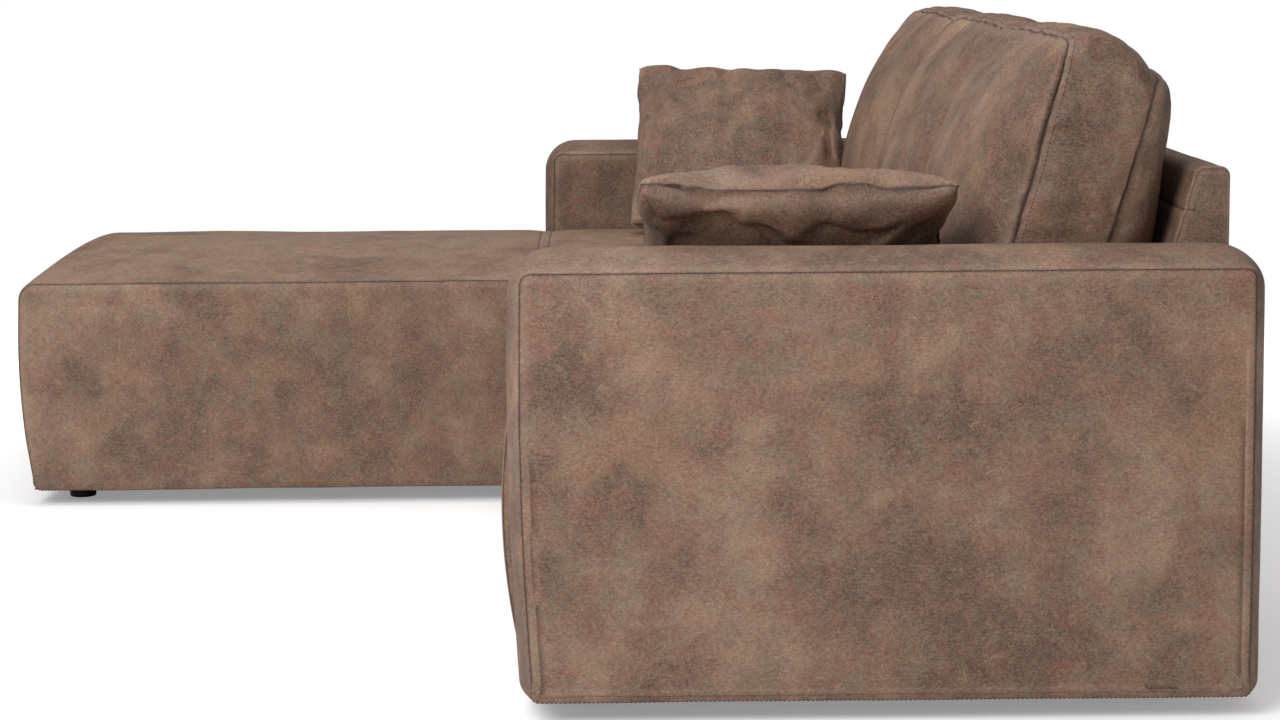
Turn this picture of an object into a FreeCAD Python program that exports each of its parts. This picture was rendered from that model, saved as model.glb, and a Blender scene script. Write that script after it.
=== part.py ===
import FreeCAD
import Part
import math
import os

# Sectional sofa with chaise: two arms, a two-seat unit, a chaise unit, two backrests,
# three loose back cushions and two scatter cushions, with the frames, straps and pads inside.
# Sizes are in millimetres. X runs along the sofa, to the right seen from the front,
# Y runs to the back and Z up. The origin is on the floor, under the middle of the outline.

V = FreeCAD.Vector
os.makedirs("parts", exist_ok=True)

# Overall layout
module_width = 710.0
arm_width = 220.0
arm_depth = 967.0
arm_height = 605.0
chaise_reach = 1947.0
seat_front_setback = 18.0
seam_height = 420.0
backrest_height = 720.0
floor_gap = 30.0

# How far the covers swell out between their seams
arm_front_swell = 17.0
arm_rear_swell = 26.0
arm_top_swell = 20.0
arm_panel_swell = 4.0
seat_top_swell = 34.0
seat_seam_dip = 12.0
seat_front_belly = 22.0
chaise_top_swell = 38.0
chaise_front_swell = 12.0
chaise_front_belly = 14.0
chaise_panel_swell = 4.0
seam_corner = 16.0
arm_crown_corner = 44.0
chaise_corner = 30.0
chaise_crown_corner = 70.0
seat_corner = 24.0
seat_crown_corner = 20.0
front_tuck = 10.0
chaise_tuck = 16.0
boxing_fullness = 0.8
panel_rim = 18.0
panel_edge = 70.0
panel_rise = 0.6

# Cover, pads and the clearances between them
cover_thickness = 2.0
cover_wrap = 26.0
layer_gap = 0.6
module_gap = 1.0
arm_pad = 14.0
front_pad = 22.0
backrest_pad = 18.0
dust_cover_thickness = 1.0
felt_thickness = 4.0
seat_foam_thickness = 150.0

# Timber
rail_thickness = 25.0
rail_width = 70.0
board_thickness = 3.0
arm_rail_thickness = 22.0

# Elastic straps
strap_width = 60.0
strap_row_pitch = 290.0
strap_thickness = 1.6
strap_pitch = 128.0
strap_weave = 2.4

# Backrest section
backrest_top_depth = 46.0
backrest_proud = 5.0
backrest_lean = 16.0
backrest_corner = 14.0

# Back cushions
back_cushion_gap = 7.0
cushion_gap = 3.0
back_cushion_height = 438.0
back_cushion_base = 212.0
back_cushion_lean = 15.0
back_cushion_front_swell = 50.0
back_cushion_foot_swell = 35.0
back_cushion_rear_swell = 24.0
back_cushion_crest = 25.0
back_cushion_side_swell = 6.0
back_cushion_rear_top = 64.0
back_cushion_drop = 48.0
back_cushion_gusset_draw = 44.0
back_cushion_rear_clearance = 5.0
back_cushion_fullness = 2.6
back_cushion_crest_forward = 0.35
gusset_margin = 26.0
gusset_proud = 1.0
cushion_stations = (0.4, 0.8, 1.0)

# Scatter cushions
scatter_size = 434.0
scatter_draw_in = 17.0
scatter_thickness = 168.0
scatter_hem = 8.0
pillow_outline_power = 2.2
pillow_outline_fullness = 0.72
pillow_crown_fullness = 0.85
pillow_stations = (0.0, 0.6, 0.9, 1.0)
pillow_arc_points = 6
upright_scatter_turn = -3.0
upright_scatter_foot = 10.3
upright_scatter_contact = 46.1
upright_scatter_from_rear = 583.0
upright_lean_in = 20.0
reclined_scatter_turn = 0.0
reclined_scatter_foot = 34.8
reclined_scatter_contact = 151.6
reclined_scatter_from_rear = 591.0
reclined_lean_in = 8.0

# Feet and hardware
foot_diameter = 50.0
foot_side_inset = 110.0
foot_front_inset = 87.0
arm_foot_inset = 68.0
bolt_diameter = 8.0
bolt_head = 13.0
bolt_head_height = 5.5
bolt_height = 190.0
nut_plate = 34.0
nut_plate_thickness = 6.0
thread_clearance = 0.1
bolt_clearance = 1.0
plate_length = 120.0
plate_thickness = 2.5
screw_diameter = 5.0
screw_length = 30.0
screw_neck = 5.5
screw_head = 10.0
screw_clearance = 0.3

# Places worked out from the sizes above
half_inner = 1.5 * module_width
half_outer = half_inner + arm_width
chaise_nose = chaise_front_swell + chaise_front_belly - chaise_tuck / 2
rear_seam = (chaise_reach + chaise_nose - arm_rear_swell) / 2
arm_front = rear_seam - arm_depth
arm_nose = arm_front - arm_front_swell - front_tuck / 2
seat_front = arm_front - seat_front_setback
chaise_front = rear_seam - chaise_reach
chaise_side = module_width - half_inner
lean_run = math.tan(math.radians(backrest_lean))
backrest_rear = rear_seam + backrest_proud
backrest_top_front = backrest_rear - backrest_top_depth
frame_bottom = floor_gap + cover_thickness + layer_gap
strap_level = seam_height - seat_foam_thickness - felt_thickness
foam_bottom = strap_level + 2 * strap_weave + strap_thickness + felt_thickness + layer_gap


def backrest_face(height):
    """Y of the backrest's slanted front face at a height."""
    return backrest_top_front - lean_run * (backrest_height - height)


seat_rear = backrest_face(seam_height) - module_gap
cushion_base = seam_height + max(seat_top_swell, chaise_top_swell) + cushion_gap


def box(x0, x1, y0, y1, z0, z1):
    return Part.makeBox(x1 - x0, y1 - y0, z1 - z0, V(x0, y0, z0))


def joined(shapes):
    return shapes[0].multiFuse(shapes[1:]).removeSplitter()


def save(shape, node):
    shape.exportStep("parts/" + node + ".step")


def arc(start, middle, end):
    return Part.Arc(start, middle, end).toShape()


def mirrored(shape):
    return shape.mirror(V(0, 0, 0), V(1, 0, 0))


# Upholstered blocks

def block_section(x, y0, y1, z0, z1, corner, belly, tuck, round_rear):
    """Side view of an upholstered block: round at the top, with a belly and a tucked foot in front."""
    k = corner * (1 - math.sqrt(0.5))
    low_front = V(x, y0 + tuck, z0)
    low_rear = V(x, y1, z0)
    edges = [Part.makeLine(low_front, low_rear)]
    if round_rear:
        edges.append(Part.makeLine(low_rear, V(x, y1, z1 - corner)))
        edges.append(arc(V(x, y1, z1 - corner), V(x, y1 - k, z1 - k), V(x, y1 - corner, z1)))
        edges.append(Part.makeLine(V(x, y1 - corner, z1), V(x, y0 + corner, z1)))
    else:
        edges.append(Part.makeLine(low_rear, V(x, y1, z1)))
        edges.append(Part.makeLine(V(x, y1, z1), V(x, y0 + corner, z1)))
    edges.append(arc(V(x, y0 + corner, z1), V(x, y0 + k, z1 - k), V(x, y0, z1 - corner)))
    belly_point = V(x, y0 + tuck / 2 - belly, (z0 + z1 - corner) / 2)
    edges.append(arc(V(x, y0, z1 - corner), belly_point, low_front))
    return Part.Wire(edges)


def block(stations, inset, place):
    """Loft through side views. A station is its x, its swell from 0 at a seam to 1, and its shrink."""
    wires = []
    for x, swell, shrink in stations:
        s = shrink + inset
        wires.append(block_section(
            x,
            place["front"] - place["front_swell"] * swell + s,
            place["rear"] + place["rear_swell"] * swell - s,
            place["bottom"] + shrink + (inset if inset > 0 else 0),
            place["top"] + place["top_swell"] * swell - s,
            place["corner"] + place["crown_corner"] * swell,
            place["belly"],
            place["tuck"],
            place["rear_swell"] > 0,
        ))
    return Part.makeLoft(wires, True, True)


def swell_stations(x0, x1, spans):
    """Stations across one boxing strip, swelling as a parabola between its two seams."""
    places = []
    for i in range(spans + 1):
        s = 2 * i / spans - 1
        s = math.copysign(abs(s) ** boxing_fullness, s)
        places.append(((x0 + x1) / 2 + s * (x1 - x0) / 2, 1 - s * s, 0.0))
    return places


def panel_stations(x, swell, outward):
    """Stations that puff a side panel out past its seam, from the seam to the middle."""
    return [
        (x + outward * swell * panel_rise, 0.0, panel_rim),
        (x + outward * swell, 0.0, panel_edge),
    ]


def arm_block(inset):
    """The right arm. Its outer panel is at +X, and its inner panel is flat."""
    place = dict(front=arm_front, rear=rear_seam, bottom=floor_gap, top=arm_height,
                 front_swell=arm_front_swell, rear_swell=arm_rear_swell,
                 top_swell=arm_top_swell, corner=seam_corner,
                 crown_corner=arm_crown_corner, belly=front_tuck, tuck=front_tuck)
    stations = swell_stations(half_inner + inset, half_outer - inset, 5)
    stations += panel_stations(half_outer - inset, arm_panel_swell, 1)
    return block(stations, inset, place)


def seat_block(inset):
    """The two-seat unit's body: one crown over each seat, with a sewn dip between them."""
    place = dict(front=seat_front, rear=seat_rear, bottom=floor_gap, top=seam_height,
                 front_swell=0.0, rear_swell=0.0, top_swell=seat_top_swell,
                 corner=seat_corner, crown_corner=seat_crown_corner,
                 belly=seat_front_belly, tuck=front_tuck)
    left = chaise_side + module_gap + inset
    right = half_inner - module_gap - inset
    middle = (left + right) / 2
    dip = seat_seam_dip / seat_top_swell
    stations = []
    for x, swell, shrink in swell_stations(left, middle, 5):
        rise = dip * (x - left) / (middle - left)
        stations.append((x, rise + swell * (1 - rise), shrink))
    for x, swell, shrink in reversed(swell_stations(left, middle, 5)[:-1]):
        rise = dip * (x - left) / (middle - left)
        stations.append((left + right - x, rise + swell * (1 - rise), shrink))
    return block(stations, inset, place)


def chaise_block(inset):
    """The chaise unit's body: full width in front of the left arm, one seat wide beside it."""
    place = dict(front=chaise_front, rear=seat_rear, bottom=floor_gap, top=seam_height,
                 front_swell=chaise_front_swell, rear_swell=0.0, top_swell=chaise_top_swell,
                 corner=chaise_corner, crown_corner=chaise_crown_corner,
                 belly=chaise_front_belly, tuck=chaise_tuck)
    left = -half_outer + inset
    right = chaise_side - module_gap - inset
    stations = swell_stations(left, right, 7)
    stations = list(reversed(panel_stations(left, chaise_panel_swell, -1))) + stations
    whole = block(stations, inset, place)
    notch_right = -half_inner + module_gap + inset
    notch_front = arm_nose - module_gap - inset
    notch = box(-2 * half_outer, notch_right, notch_front, 2 * rear_seam, 0, 2 * arm_height)
    return whole.cut(notch)


def opened_below(outer, inner, x0, x1, y0, y1):
    """A cover: the outer form less the inner one, open underneath but for its stapled wrap."""
    window = box(x0 + cover_wrap, x1 - cover_wrap, y0 + cover_wrap, y1 - cover_wrap,
                 0, floor_gap + 2 * cover_thickness)
    return outer.cut(inner).cut(window)


# Timber frames

def ladder(along, across, heights, rail, thickness):
    """Upright ladder frame in the YZ plane: posts at both ends and the middle, rails low and high."""
    x0, x1 = across, across + thickness
    y0, y1 = along
    z0, z1 = heights
    middle = (y0 + y1 - rail) / 2
    pieces = [box(x0, x1, y0, y1, z0, z0 + rail), box(x0, x1, y0, y1, z1 - rail, z1)]
    for y in (y0, middle, y1 - rail):
        pieces.append(box(x0, x1, y, y + rail, z0, z1))
    return joined(pieces)


def arm_frame():
    """Two ladder sides tied by a front board, a rear board and a top board."""
    edge = cover_thickness + layer_gap + arm_pad + layer_gap + board_thickness
    x0, x1 = half_inner + edge, half_outer - edge
    y0, y1 = arm_front + edge, rear_seam - edge
    top = arm_height - edge
    sides = [ladder((y0, y1), x0, (frame_bottom, top), rail_width, arm_rail_thickness),
             ladder((y0, y1), x1 - arm_rail_thickness, (frame_bottom, top), rail_width,
                    arm_rail_thickness)]
    ties = [box(x0, x1, y0, y0 + arm_rail_thickness, frame_bottom, top),
            box(x0, x1, y1 - arm_rail_thickness, y1, frame_bottom, top),
            box(x0, x1, y0, y1, top - arm_rail_thickness, top)]
    for y in (y0 + foot_front_inset - edge, y1 - foot_front_inset + edge):
        ties.append(box(x0, x1, y - rail_width / 2, y + rail_width / 2,
                        frame_bottom, frame_bottom + rail_thickness))
    return joined(sides + ties)


def arm_boards():
    """Hardboard skins on both faces of the arm frame."""
    edge = cover_thickness + layer_gap + arm_pad + layer_gap
    y0, y1 = arm_front + edge + board_thickness, rear_seam - edge - board_thickness
    top = arm_height - edge - board_thickness
    inner = half_inner + edge
    outer = half_outer - edge - board_thickness
    return Part.makeCompound([box(x, x + board_thickness, y0, y1, frame_bottom, top)
                              for x in (inner, outer)])


def arm_padding():
    """Foam wrap over the boards, under the cover."""
    edge = cover_thickness + layer_gap + arm_pad
    soft = arm_block(cover_thickness + layer_gap)
    hollow = box(half_inner + edge, half_outer - edge, arm_front + edge, rear_seam - edge,
                 0, arm_height - edge)
    return soft.cut(hollow)


def arm_cover():
    outer = arm_block(0.0)
    inner = arm_block(cover_thickness)
    return opened_below(outer, inner, half_inner, half_outer, arm_front, rear_seam)


def base_frame(x0, x1, y0, y1, cross_rails):
    """Seat base: a tall rail on each side, rails across, and blocks that take the feet."""
    top = strap_level
    pieces = [box(x0, x1, y0, y0 + rail_thickness, frame_bottom, top),
              box(x0, x1, y1 - rail_thickness, y1, frame_bottom, top),
              box(x0, x0 + rail_thickness, y0, y1, frame_bottom, top),
              box(x1 - rail_thickness, x1, y0, y1, frame_bottom, top)]
    for x in cross_rails:
        pieces.append(box(x - rail_thickness / 2, x + rail_thickness / 2, y0, y1,
                          frame_bottom, top - rail_width))
    return pieces


def base_edges(x0, x1, y0, y1):
    """Outline of a base frame inside a cover whose seams are at these places."""
    side = cover_thickness + layer_gap
    return x0 + side, x1 - side, y0 + side + front_pad, y1 - side


def seat_outline():
    return chaise_side + module_gap, half_inner - module_gap, seat_front, seat_rear


def chaise_outline():
    return -half_outer, chaise_side - module_gap, chaise_front, seat_rear


def foot_block(x, y):
    half = rail_width
    return box(x - half, x + half, y - half, y + half, frame_bottom, frame_bottom + rail_thickness)


def seat_frame():
    x0, x1, y0, y1 = base_edges(*seat_outline())
    pieces = base_frame(x0, x1, y0, y1, [(x0 + x1) / 2])
    pieces += [foot_block(x, y) for x, y in seat_feet_places()]
    return joined(pieces).common(box(x0, x1, y0, y1, 0, seam_height))


def chaise_frame():
    """The base is full width in front of the arm and steps in beside it."""
    x0, x1, y0, y1 = base_edges(*chaise_outline())
    step_x = -half_inner + module_gap + cover_thickness + layer_gap
    step_y = arm_nose - module_gap - cover_thickness - layer_gap
    front = base_frame(x0, x1, y0, step_y, [(x0 + x1) / 2])
    rear = base_frame(step_x, x1, step_y - rail_thickness, y1, [(step_x + x1) / 2])
    blocks = [foot_block(x, y) for x, y in chaise_feet_places()]
    limit = box(x0, x1, y0, step_y, 0, arm_height).fuse(box(step_x, x1, y0, y1, 0, arm_height))
    return joined(front + rear + blocks).common(limit.removeSplitter())


# Elastic straps, woven over and under

def strap(start, end, centre, along_x, first_over, crossings):
    """One strap that passes over and under the straps that it crosses."""
    half = strap_width / 2
    over = strap_level + strap_weave + strap_weave / 2
    under = strap_level + strap_weave - strap_weave / 2
    places = [(start, strap_level + layer_gap)]
    up = first_over
    for c in crossings:
        level = over if up else under
        places += [(c - half, level), (c + half, level)]
        up = not up
    places.append((end, strap_level + layer_gap))
    lower = [V(a, 0, z) for a, z in places]
    upper = [V(a, 0, z + strap_thickness) for a, z in reversed(places)]
    outline = Part.makePolygon(lower + upper + lower[:1])
    if not along_x:
        outline.rotate(V(0, 0, 0), V(0, 0, 1), 90)
    face = Part.Face(outline)
    if along_x:
        face.translate(V(0, centre - half, 0))
        return face.extrude(V(0, strap_width, 0))
    face.translate(V(centre - half, 0, 0))
    return face.extrude(V(strap_width, 0, 0))


def spread(a, b, pitch):
    """Evenly spaced places between two rails, near the wanted pitch."""
    count = max(int(round((b - a) / pitch)) - 1, 1)
    return [a + (b - a) * (i + 1) / (count + 1) for i in range(count)]


def woven_straps(x0, x1, y0, y1):
    """Straps from front to back, woven with wider spaced straps along the unit."""
    columns = spread(x0, x1, strap_pitch)
    rows = spread(y0, y1, strap_row_pitch)
    straps = []
    for i, x in enumerate(columns):
        straps.append(strap(y0, y1, x, False, i % 2 == 0, rows))
    for j, y in enumerate(rows):
        straps.append(strap(x0, x1, y, True, j % 2 == 1, columns))
    return straps


def seat_webbing():
    return Part.makeCompound(woven_straps(*base_edges(*seat_outline())))


def chaise_webbing():
    x0, x1, y0, y1 = base_edges(*chaise_outline())
    step_x = -half_inner + module_gap + cover_thickness + layer_gap
    step_y = arm_nose - module_gap - cover_thickness - layer_gap
    front = woven_straps(x0, x1, y0, step_y - rail_thickness / 2 - layer_gap)
    rear = woven_straps(step_x, x1, step_y - rail_thickness / 2 + layer_gap, y1)
    return Part.makeCompound(front + rear)


# Seat fillings

def felt_level():
    return strap_level + 2 * strap_weave + strap_thickness


def seat_felt():
    x0, x1, y0, y1 = base_edges(*seat_outline())
    return box(x0, x1, y0, y1, felt_level(), felt_level() + felt_thickness)


def chaise_felt():
    x0, x1, y0, y1 = base_edges(*chaise_outline())
    sheet = box(x0, x1, y0, y1, felt_level(), felt_level() + felt_thickness)
    notch = box(x0 - 1, -half_inner + module_gap + cover_thickness + layer_gap,
                arm_nose - module_gap - cover_thickness - layer_gap, y1 + 1, 0, arm_height)
    return sheet.cut(notch)


def foam(body, outline):
    """The upholstery foam: the crowned form less the frame's space, with a pad down the front."""
    x0, x1, y0, y1 = base_edges(*outline)
    hollow = box(x0 - front_pad, x1 + front_pad, y0 - layer_gap, y1 + 2 * front_pad, 0, foam_bottom)
    return body.cut(hollow)


def seat_foam():
    return foam(seat_block(cover_thickness + layer_gap), seat_outline())


def chaise_foam():
    return foam(chaise_block(cover_thickness + layer_gap), chaise_outline())


def seat_cover():
    x0, x1, y0, y1 = seat_outline()
    return opened_below(seat_block(0.0), seat_block(cover_thickness), x0, x1, y0, y1)


def chaise_cover():
    x0, x1, y0, y1 = chaise_outline()
    shell = chaise_block(0.0).cut(chaise_block(cover_thickness))
    notch_x = -half_inner + module_gap
    notch_y = arm_nose - module_gap
    top = floor_gap + 2 * cover_thickness
    front = box(x0 + cover_wrap, x1 - cover_wrap, y0 + cover_wrap, notch_y - cover_wrap, 0, top)
    rear = box(notch_x + cover_wrap, x1 - cover_wrap, y0 + cover_wrap, y1 - cover_wrap, 0, top)
    return shell.cut(front.fuse(rear))


def dust_cover(x0, x1, y0, y1):
    edge = cover_wrap / 2
    return box(x0 + edge, x1 - edge, y0 + edge, y1 - edge, floor_gap - dust_cover_thickness, floor_gap)


def seat_dust_cover():
    return dust_cover(*seat_outline())


def chaise_dust_cover():
    x0, x1, y0, y1 = chaise_outline()
    notch = box(x0 - 1, -half_inner + module_gap + cover_wrap / 2,
                arm_nose - module_gap - cover_wrap / 2, y1 + 1, 0, arm_height)
    return dust_cover(x0, x1, y0, y1).cut(notch)


def arm_dust_cover():
    return dust_cover(half_inner, half_outer, arm_front, rear_seam)


# Backrests

def backrest_section(x, inset):
    """Side view: upright at the back, rounded along the top, slanted in front down to the seat."""
    top = backrest_height
    r = backrest_corner
    slope = math.radians(backrest_lean)
    rear = backrest_rear
    face_top = V(x, backrest_top_front, top)
    down = V(0, -math.sin(slope), -math.cos(slope))
    face_low = V(x, backrest_face(seam_height), seam_height)
    low_front = V(x, backrest_face(seam_height), floor_gap)
    low_rear = V(x, rear, floor_gap)
    k = r * (1 - math.sqrt(0.5))
    bend = r * math.tan((math.pi / 2 - slope) / 2)
    on_top = face_top + V(0, bend, 0)
    on_face = face_top + down * bend
    half = (math.pi / 2 - slope) / 2
    centre = on_top + V(0, 0, -r)
    crest = centre + V(0, -math.sin(half), math.cos(half)) * r
    edges = [
        Part.makeLine(low_front, low_rear),
        Part.makeLine(low_rear, V(x, rear, top - r)),
        arc(V(x, rear, top - r), V(x, rear - k, top - k), V(x, rear - r, top)),
        Part.makeLine(V(x, rear - r, top), on_top),
        arc(on_top, crest, on_face),
        Part.makeLine(on_face, face_low),
        Part.makeLine(face_low, low_front),
    ]
    wire = Part.Wire(edges)
    if inset > 0:
        wire = wire.makeOffset2D(-inset)
    return wire


def backrest_block(x0, x1, inset):
    return Part.Face(backrest_section(x0 + inset, inset)).extrude(V(x1 - x0 - 2 * inset, 0, 0))


def backrest_cover(x0, x1):
    outer = backrest_block(x0, x1, 0.0)
    inner = backrest_block(x0, x1, cover_thickness)
    window = box(x0 + cover_wrap, x1 - cover_wrap, backrest_face(seam_height) + cover_wrap,
                 backrest_rear - cover_wrap, 0, floor_gap + 2 * cover_thickness)
    return outer.cut(inner).cut(window)


def backrest_padding(x0, x1):
    """Foam over the top and down the slanted face, in front of the straps."""
    edge = cover_thickness + layer_gap
    soft = backrest_block(x0, x1, edge)
    core = backrest_block(x0, x1, edge + backrest_pad)
    core_low = box(x0, x1, backrest_face(seam_height), 2 * rear_seam, 0, seam_height)
    long_core = core.translated(V(-2 * backrest_pad, 0, 0)).fuse(core.translated(V(2 * backrest_pad, 0, 0)))
    return soft.cut(long_core).cut(core_low)


def backrest_frame(x0, x1, posts):
    """Sawn posts with the backrest's slant, tied by rails at the foot, the seat and the top."""
    edge = cover_thickness + layer_gap + backrest_pad + layer_gap
    first = x0 + cover_thickness + layer_gap
    last = x1 - cover_thickness - layer_gap - rail_thickness
    pieces = []
    profile = backrest_section(0, edge)
    for i in range(posts):
        x = first + (last - first) * i / (posts - 1)
        pieces.append(Part.Face(profile).extrude(V(rail_thickness, 0, 0)).translated(V(x, 0, 0)))
    box_edge = pieces[0].BoundBox
    y1 = box_edge.YMax
    bottom = box_edge.ZMin
    top = box_edge.ZMax - backrest_corner
    far = last + rail_thickness
    low_y = box_edge.YMin
    pieces.append(box(first, far, y1 - rail_thickness, y1, bottom, bottom + rail_width))
    pieces.append(box(first, far, y1 - rail_thickness, y1, top - rail_width, top))
    pieces.append(box(first, far, low_y, low_y + rail_thickness, bottom, bottom + rail_width))
    pieces.append(box(first, far, low_y, low_y + rail_thickness,
                      seam_height - 2 * rail_width, seam_height - rail_width))
    outline = Part.Face(profile).extrude(V(far - first, 0, 0)).translated(V(first, 0, 0))
    return joined(pieces).common(outline)


# Back cushions

def cushion_section(x, swell, inset):
    """Side view of a back cushion: front panel, top, rear panel and the flat base."""
    base = cushion_base
    top = base + back_cushion_height
    rear_low = backrest_face(base) - back_cushion_rear_clearance
    slope = math.tan(math.radians(back_cushion_lean))
    draw = back_cushion_gusset_draw * (1 - swell)
    front_low = V(x, rear_low - back_cushion_base - back_cushion_foot_swell * swell, base)
    front_top = V(x, front_low.y + slope * back_cushion_height, top - back_cushion_gap * (1 - swell))
    rear_foot = V(x, rear_low - draw, base)
    rear_top = V(x, rear_low + back_cushion_rear_top - draw / 2, top - back_cushion_drop - draw / 2)
    out = back_cushion_front_swell * swell + back_cushion_side_swell
    front_mid = (front_low + front_top) * 0.5 + V(0, -1, slope) * out
    crest = (front_top + rear_top) * 0.5 + V(0, back_cushion_crest_forward, 1) * back_cushion_crest
    rear_mid = (rear_top + rear_foot) * 0.5 + V(0, back_cushion_rear_swell * swell + gusset_proud, 0)
    edges = [
        arc(front_low, front_mid, front_top),
        arc(front_top, crest, rear_top),
        arc(rear_top, rear_mid, rear_foot),
        Part.makeLine(rear_foot, front_low),
    ]
    wire = Part.Wire(edges)
    if inset > 0:
        wire = wire.makeOffset2D(-inset)
    return wire


def back_cushion_body(left, inset):
    """One cushion: full in the middle, drawn in to its seams, with a soft swell on each gusset."""
    x0 = left + back_cushion_gap + inset
    x1 = left + module_width - back_cushion_gap - inset
    middle = (x0 + x1) / 2
    half = (x1 - x0) / 2
    bulge = back_cushion_side_swell - gusset_proud
    wires = [cushion_section(x0 - bulge, 0.0, inset + gusset_margin)]
    for s in [-s for s in reversed(cushion_stations)] + list(cushion_stations):
        wires.append(cushion_section(middle + s * half, 1 - abs(s) ** back_cushion_fullness, inset))
    wires.append(cushion_section(x1 + bulge, 0.0, inset + gusset_margin))
    return Part.makeLoft(wires, True, True)


def back_cushion_cover(left):
    return back_cushion_body(left, 0.0).cut(back_cushion_body(left, cover_thickness))


def back_cushion_filling(left):
    return back_cushion_body(left, cover_thickness + layer_gap)


# Scatter cushions

def pillow(size, thickness, draw_in):
    """Knife-edged square pillow lying in XY: two panels that meet at the seam all round."""
    half = size / 2
    shells = []
    steps = [-s for s in reversed(pillow_stations[1:])] + list(pillow_stations)
    for side in (1, -1):
        arcs = []
        for s in steps:
            fullness = max(1 - abs(s) ** pillow_outline_power, 0.0) ** pillow_outline_fullness
            height = thickness / 2 * fullness
            edge_x = half * s
            middle_x = edge_x - math.copysign(draw_in * s * s, s) if s else 0.0
            edge_y = half - draw_in * (1 - s * s)
            arcs.append((edge_x, middle_x, edge_y, height * side))
        for first, second in zip(arcs[:-1], arcs[1:]):
            shells += pillow_strip(first, second)
    shell = Part.makeShell(shells)
    shell.sewShape()
    return Part.makeSolid(shell)


def pillow_strip(first, second):
    """The panel between two cross-sections, each of four arcs: steep at the seam, full inside."""
    faces = []
    rows = [pillow_points(first), pillow_points(second)]
    for i in range(0, len(rows[0]) - 2, 2):
        a = arc(rows[0][i], rows[0][i + 1], rows[0][i + 2])
        b = arc(rows[1][i], rows[1][i + 1], rows[1][i + 2])
        faces.append(Part.makeRuledSurface(a, b))
    return faces


def pillow_points(station):
    """Points across a panel: an ellipse-like crown, with the middle drawn along to its place."""
    edge_x, middle_x, edge_y, height = station
    points = []
    for i in range(pillow_arc_points + 1):
        angle = math.pi * i / pillow_arc_points
        v = -math.cos(angle)
        rise = math.sin(angle) ** pillow_crown_fullness
        points.append(V(middle_x + (edge_x - middle_x) * v * v, edge_y * v, height * rise))
    return points


def lean(contact, back, foot):
    """Angle from upright at which a pillow's lower edge is at its height and its back on the arm's edge."""
    along = scatter_size / 2 + contact
    return math.acos((arm_height - foot) / math.hypot(along, back)) - math.atan2(back, along)


def leaning_pillow(inset, contact, lean_in, foot, turn):
    """A pillow that leans to the left, its back against an edge that stands at x 0."""
    back = scatter_thickness / 2 - lean_in
    tilt = lean(contact, back, foot)
    shape = pillow(scatter_size - 2 * inset * scatter_hem / cover_thickness,
                   scatter_thickness - 2 * inset, scatter_draw_in)
    shape.rotate(V(0, 0, 0), V(0, 0, 1), turn)
    shape.rotate(V(0, 0, 0), V(0, 1, 0), 90 - math.degrees(tilt))
    centre = foot + scatter_size / 2 * math.cos(tilt)
    x = (back + (centre - arm_height) * math.sin(tilt)) / math.cos(tilt)
    return shape.translated(V(x, rear_seam, centre))


def upright_pillow(inset):
    """Leans on the left arm: its lower edge on the chaise, its back on the arm's top edge."""
    foot = seam_height + chaise_top_swell + upright_scatter_foot
    shape = leaning_pillow(inset, upright_scatter_contact, upright_lean_in, foot, upright_scatter_turn)
    return shape.translated(V(-half_inner, -upright_scatter_from_rear, 0))


def reclined_pillow(inset):
    """Leans lower, on the right arm."""
    foot = seam_height + chaise_top_swell + reclined_scatter_foot
    shape = leaning_pillow(inset, reclined_scatter_contact, reclined_lean_in, foot, reclined_scatter_turn)
    return mirrored(shape.translated(V(-half_inner, -reclined_scatter_from_rear, 0)))


def pillow_cover(body):
    return body(0.0).cut(body(cover_thickness))


# Feet and hardware

def seat_feet_places():
    x0, x1, y0, y1 = seat_outline()
    return [(x0 + foot_side_inset, y0 + foot_front_inset), (x1 - foot_side_inset, y0 + foot_front_inset)]


def chaise_feet_places():
    x0, x1, y0, y1 = chaise_outline()
    return [(x0 + foot_side_inset, y0 + foot_front_inset), (x1 - foot_side_inset, y0 + foot_front_inset)]


def arm_feet_places():
    x = half_inner + arm_foot_inset
    return [(x, arm_front + foot_front_inset), (x, rear_seam - foot_front_inset)]


def backrest_feet_places(x0, x1):
    y = (backrest_face(seam_height) + backrest_rear) / 2
    return [(x0 + foot_side_inset, y), (x1 - foot_side_inset, y)]


def feet(places):
    height = floor_gap - dust_cover_thickness
    return Part.makeCompound([Part.makeCylinder(foot_diameter / 2, height, V(x, y, 0)) for x, y in places])


def bolt_places():
    """Y of the bolts that hold an arm: through the seat base, and through the backrest's foot."""
    edge = cover_thickness + layer_gap + arm_pad + layer_gap + board_thickness
    return (arm_front + edge + rail_width / 2, rear_seam - edge - rail_width / 2)


def arm_bolt_seat():
    """X of the face inside the arm that the bolt heads bear on."""
    return half_inner + cover_thickness + 2 * layer_gap + arm_pad + board_thickness + arm_rail_thickness


def arm_nut_seat():
    """X of the face inside the seat base that the nut plates bear on."""
    return half_inner - module_gap - cover_thickness - layer_gap - rail_thickness


def rod(x0, x1, diameter, y, z):
    return Part.makeCylinder(diameter / 2, x1 - x0, V(x0, y, z), V(1, 0, 0))


def hexagon(x0, x1, across_flats, y, z):
    corner = across_flats / math.sqrt(3)
    ring = [V(x0, y + corner * math.cos(math.radians(60 * i)), z + corner * math.sin(math.radians(60 * i)))
            for i in range(7)]
    return Part.Face(Part.makePolygon(ring)).extrude(V(x1 - x0, 0, 0))


def bolt_holes(side=1):
    reach = 2 * (arm_rail_thickness + rail_thickness)
    holes = [rod(half_inner - reach, half_inner + reach, bolt_diameter + bolt_clearance, y, bolt_height)
             for y in bolt_places()]
    holes = Part.makeCompound(holes)
    return holes if side > 0 else mirrored(holes)


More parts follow.
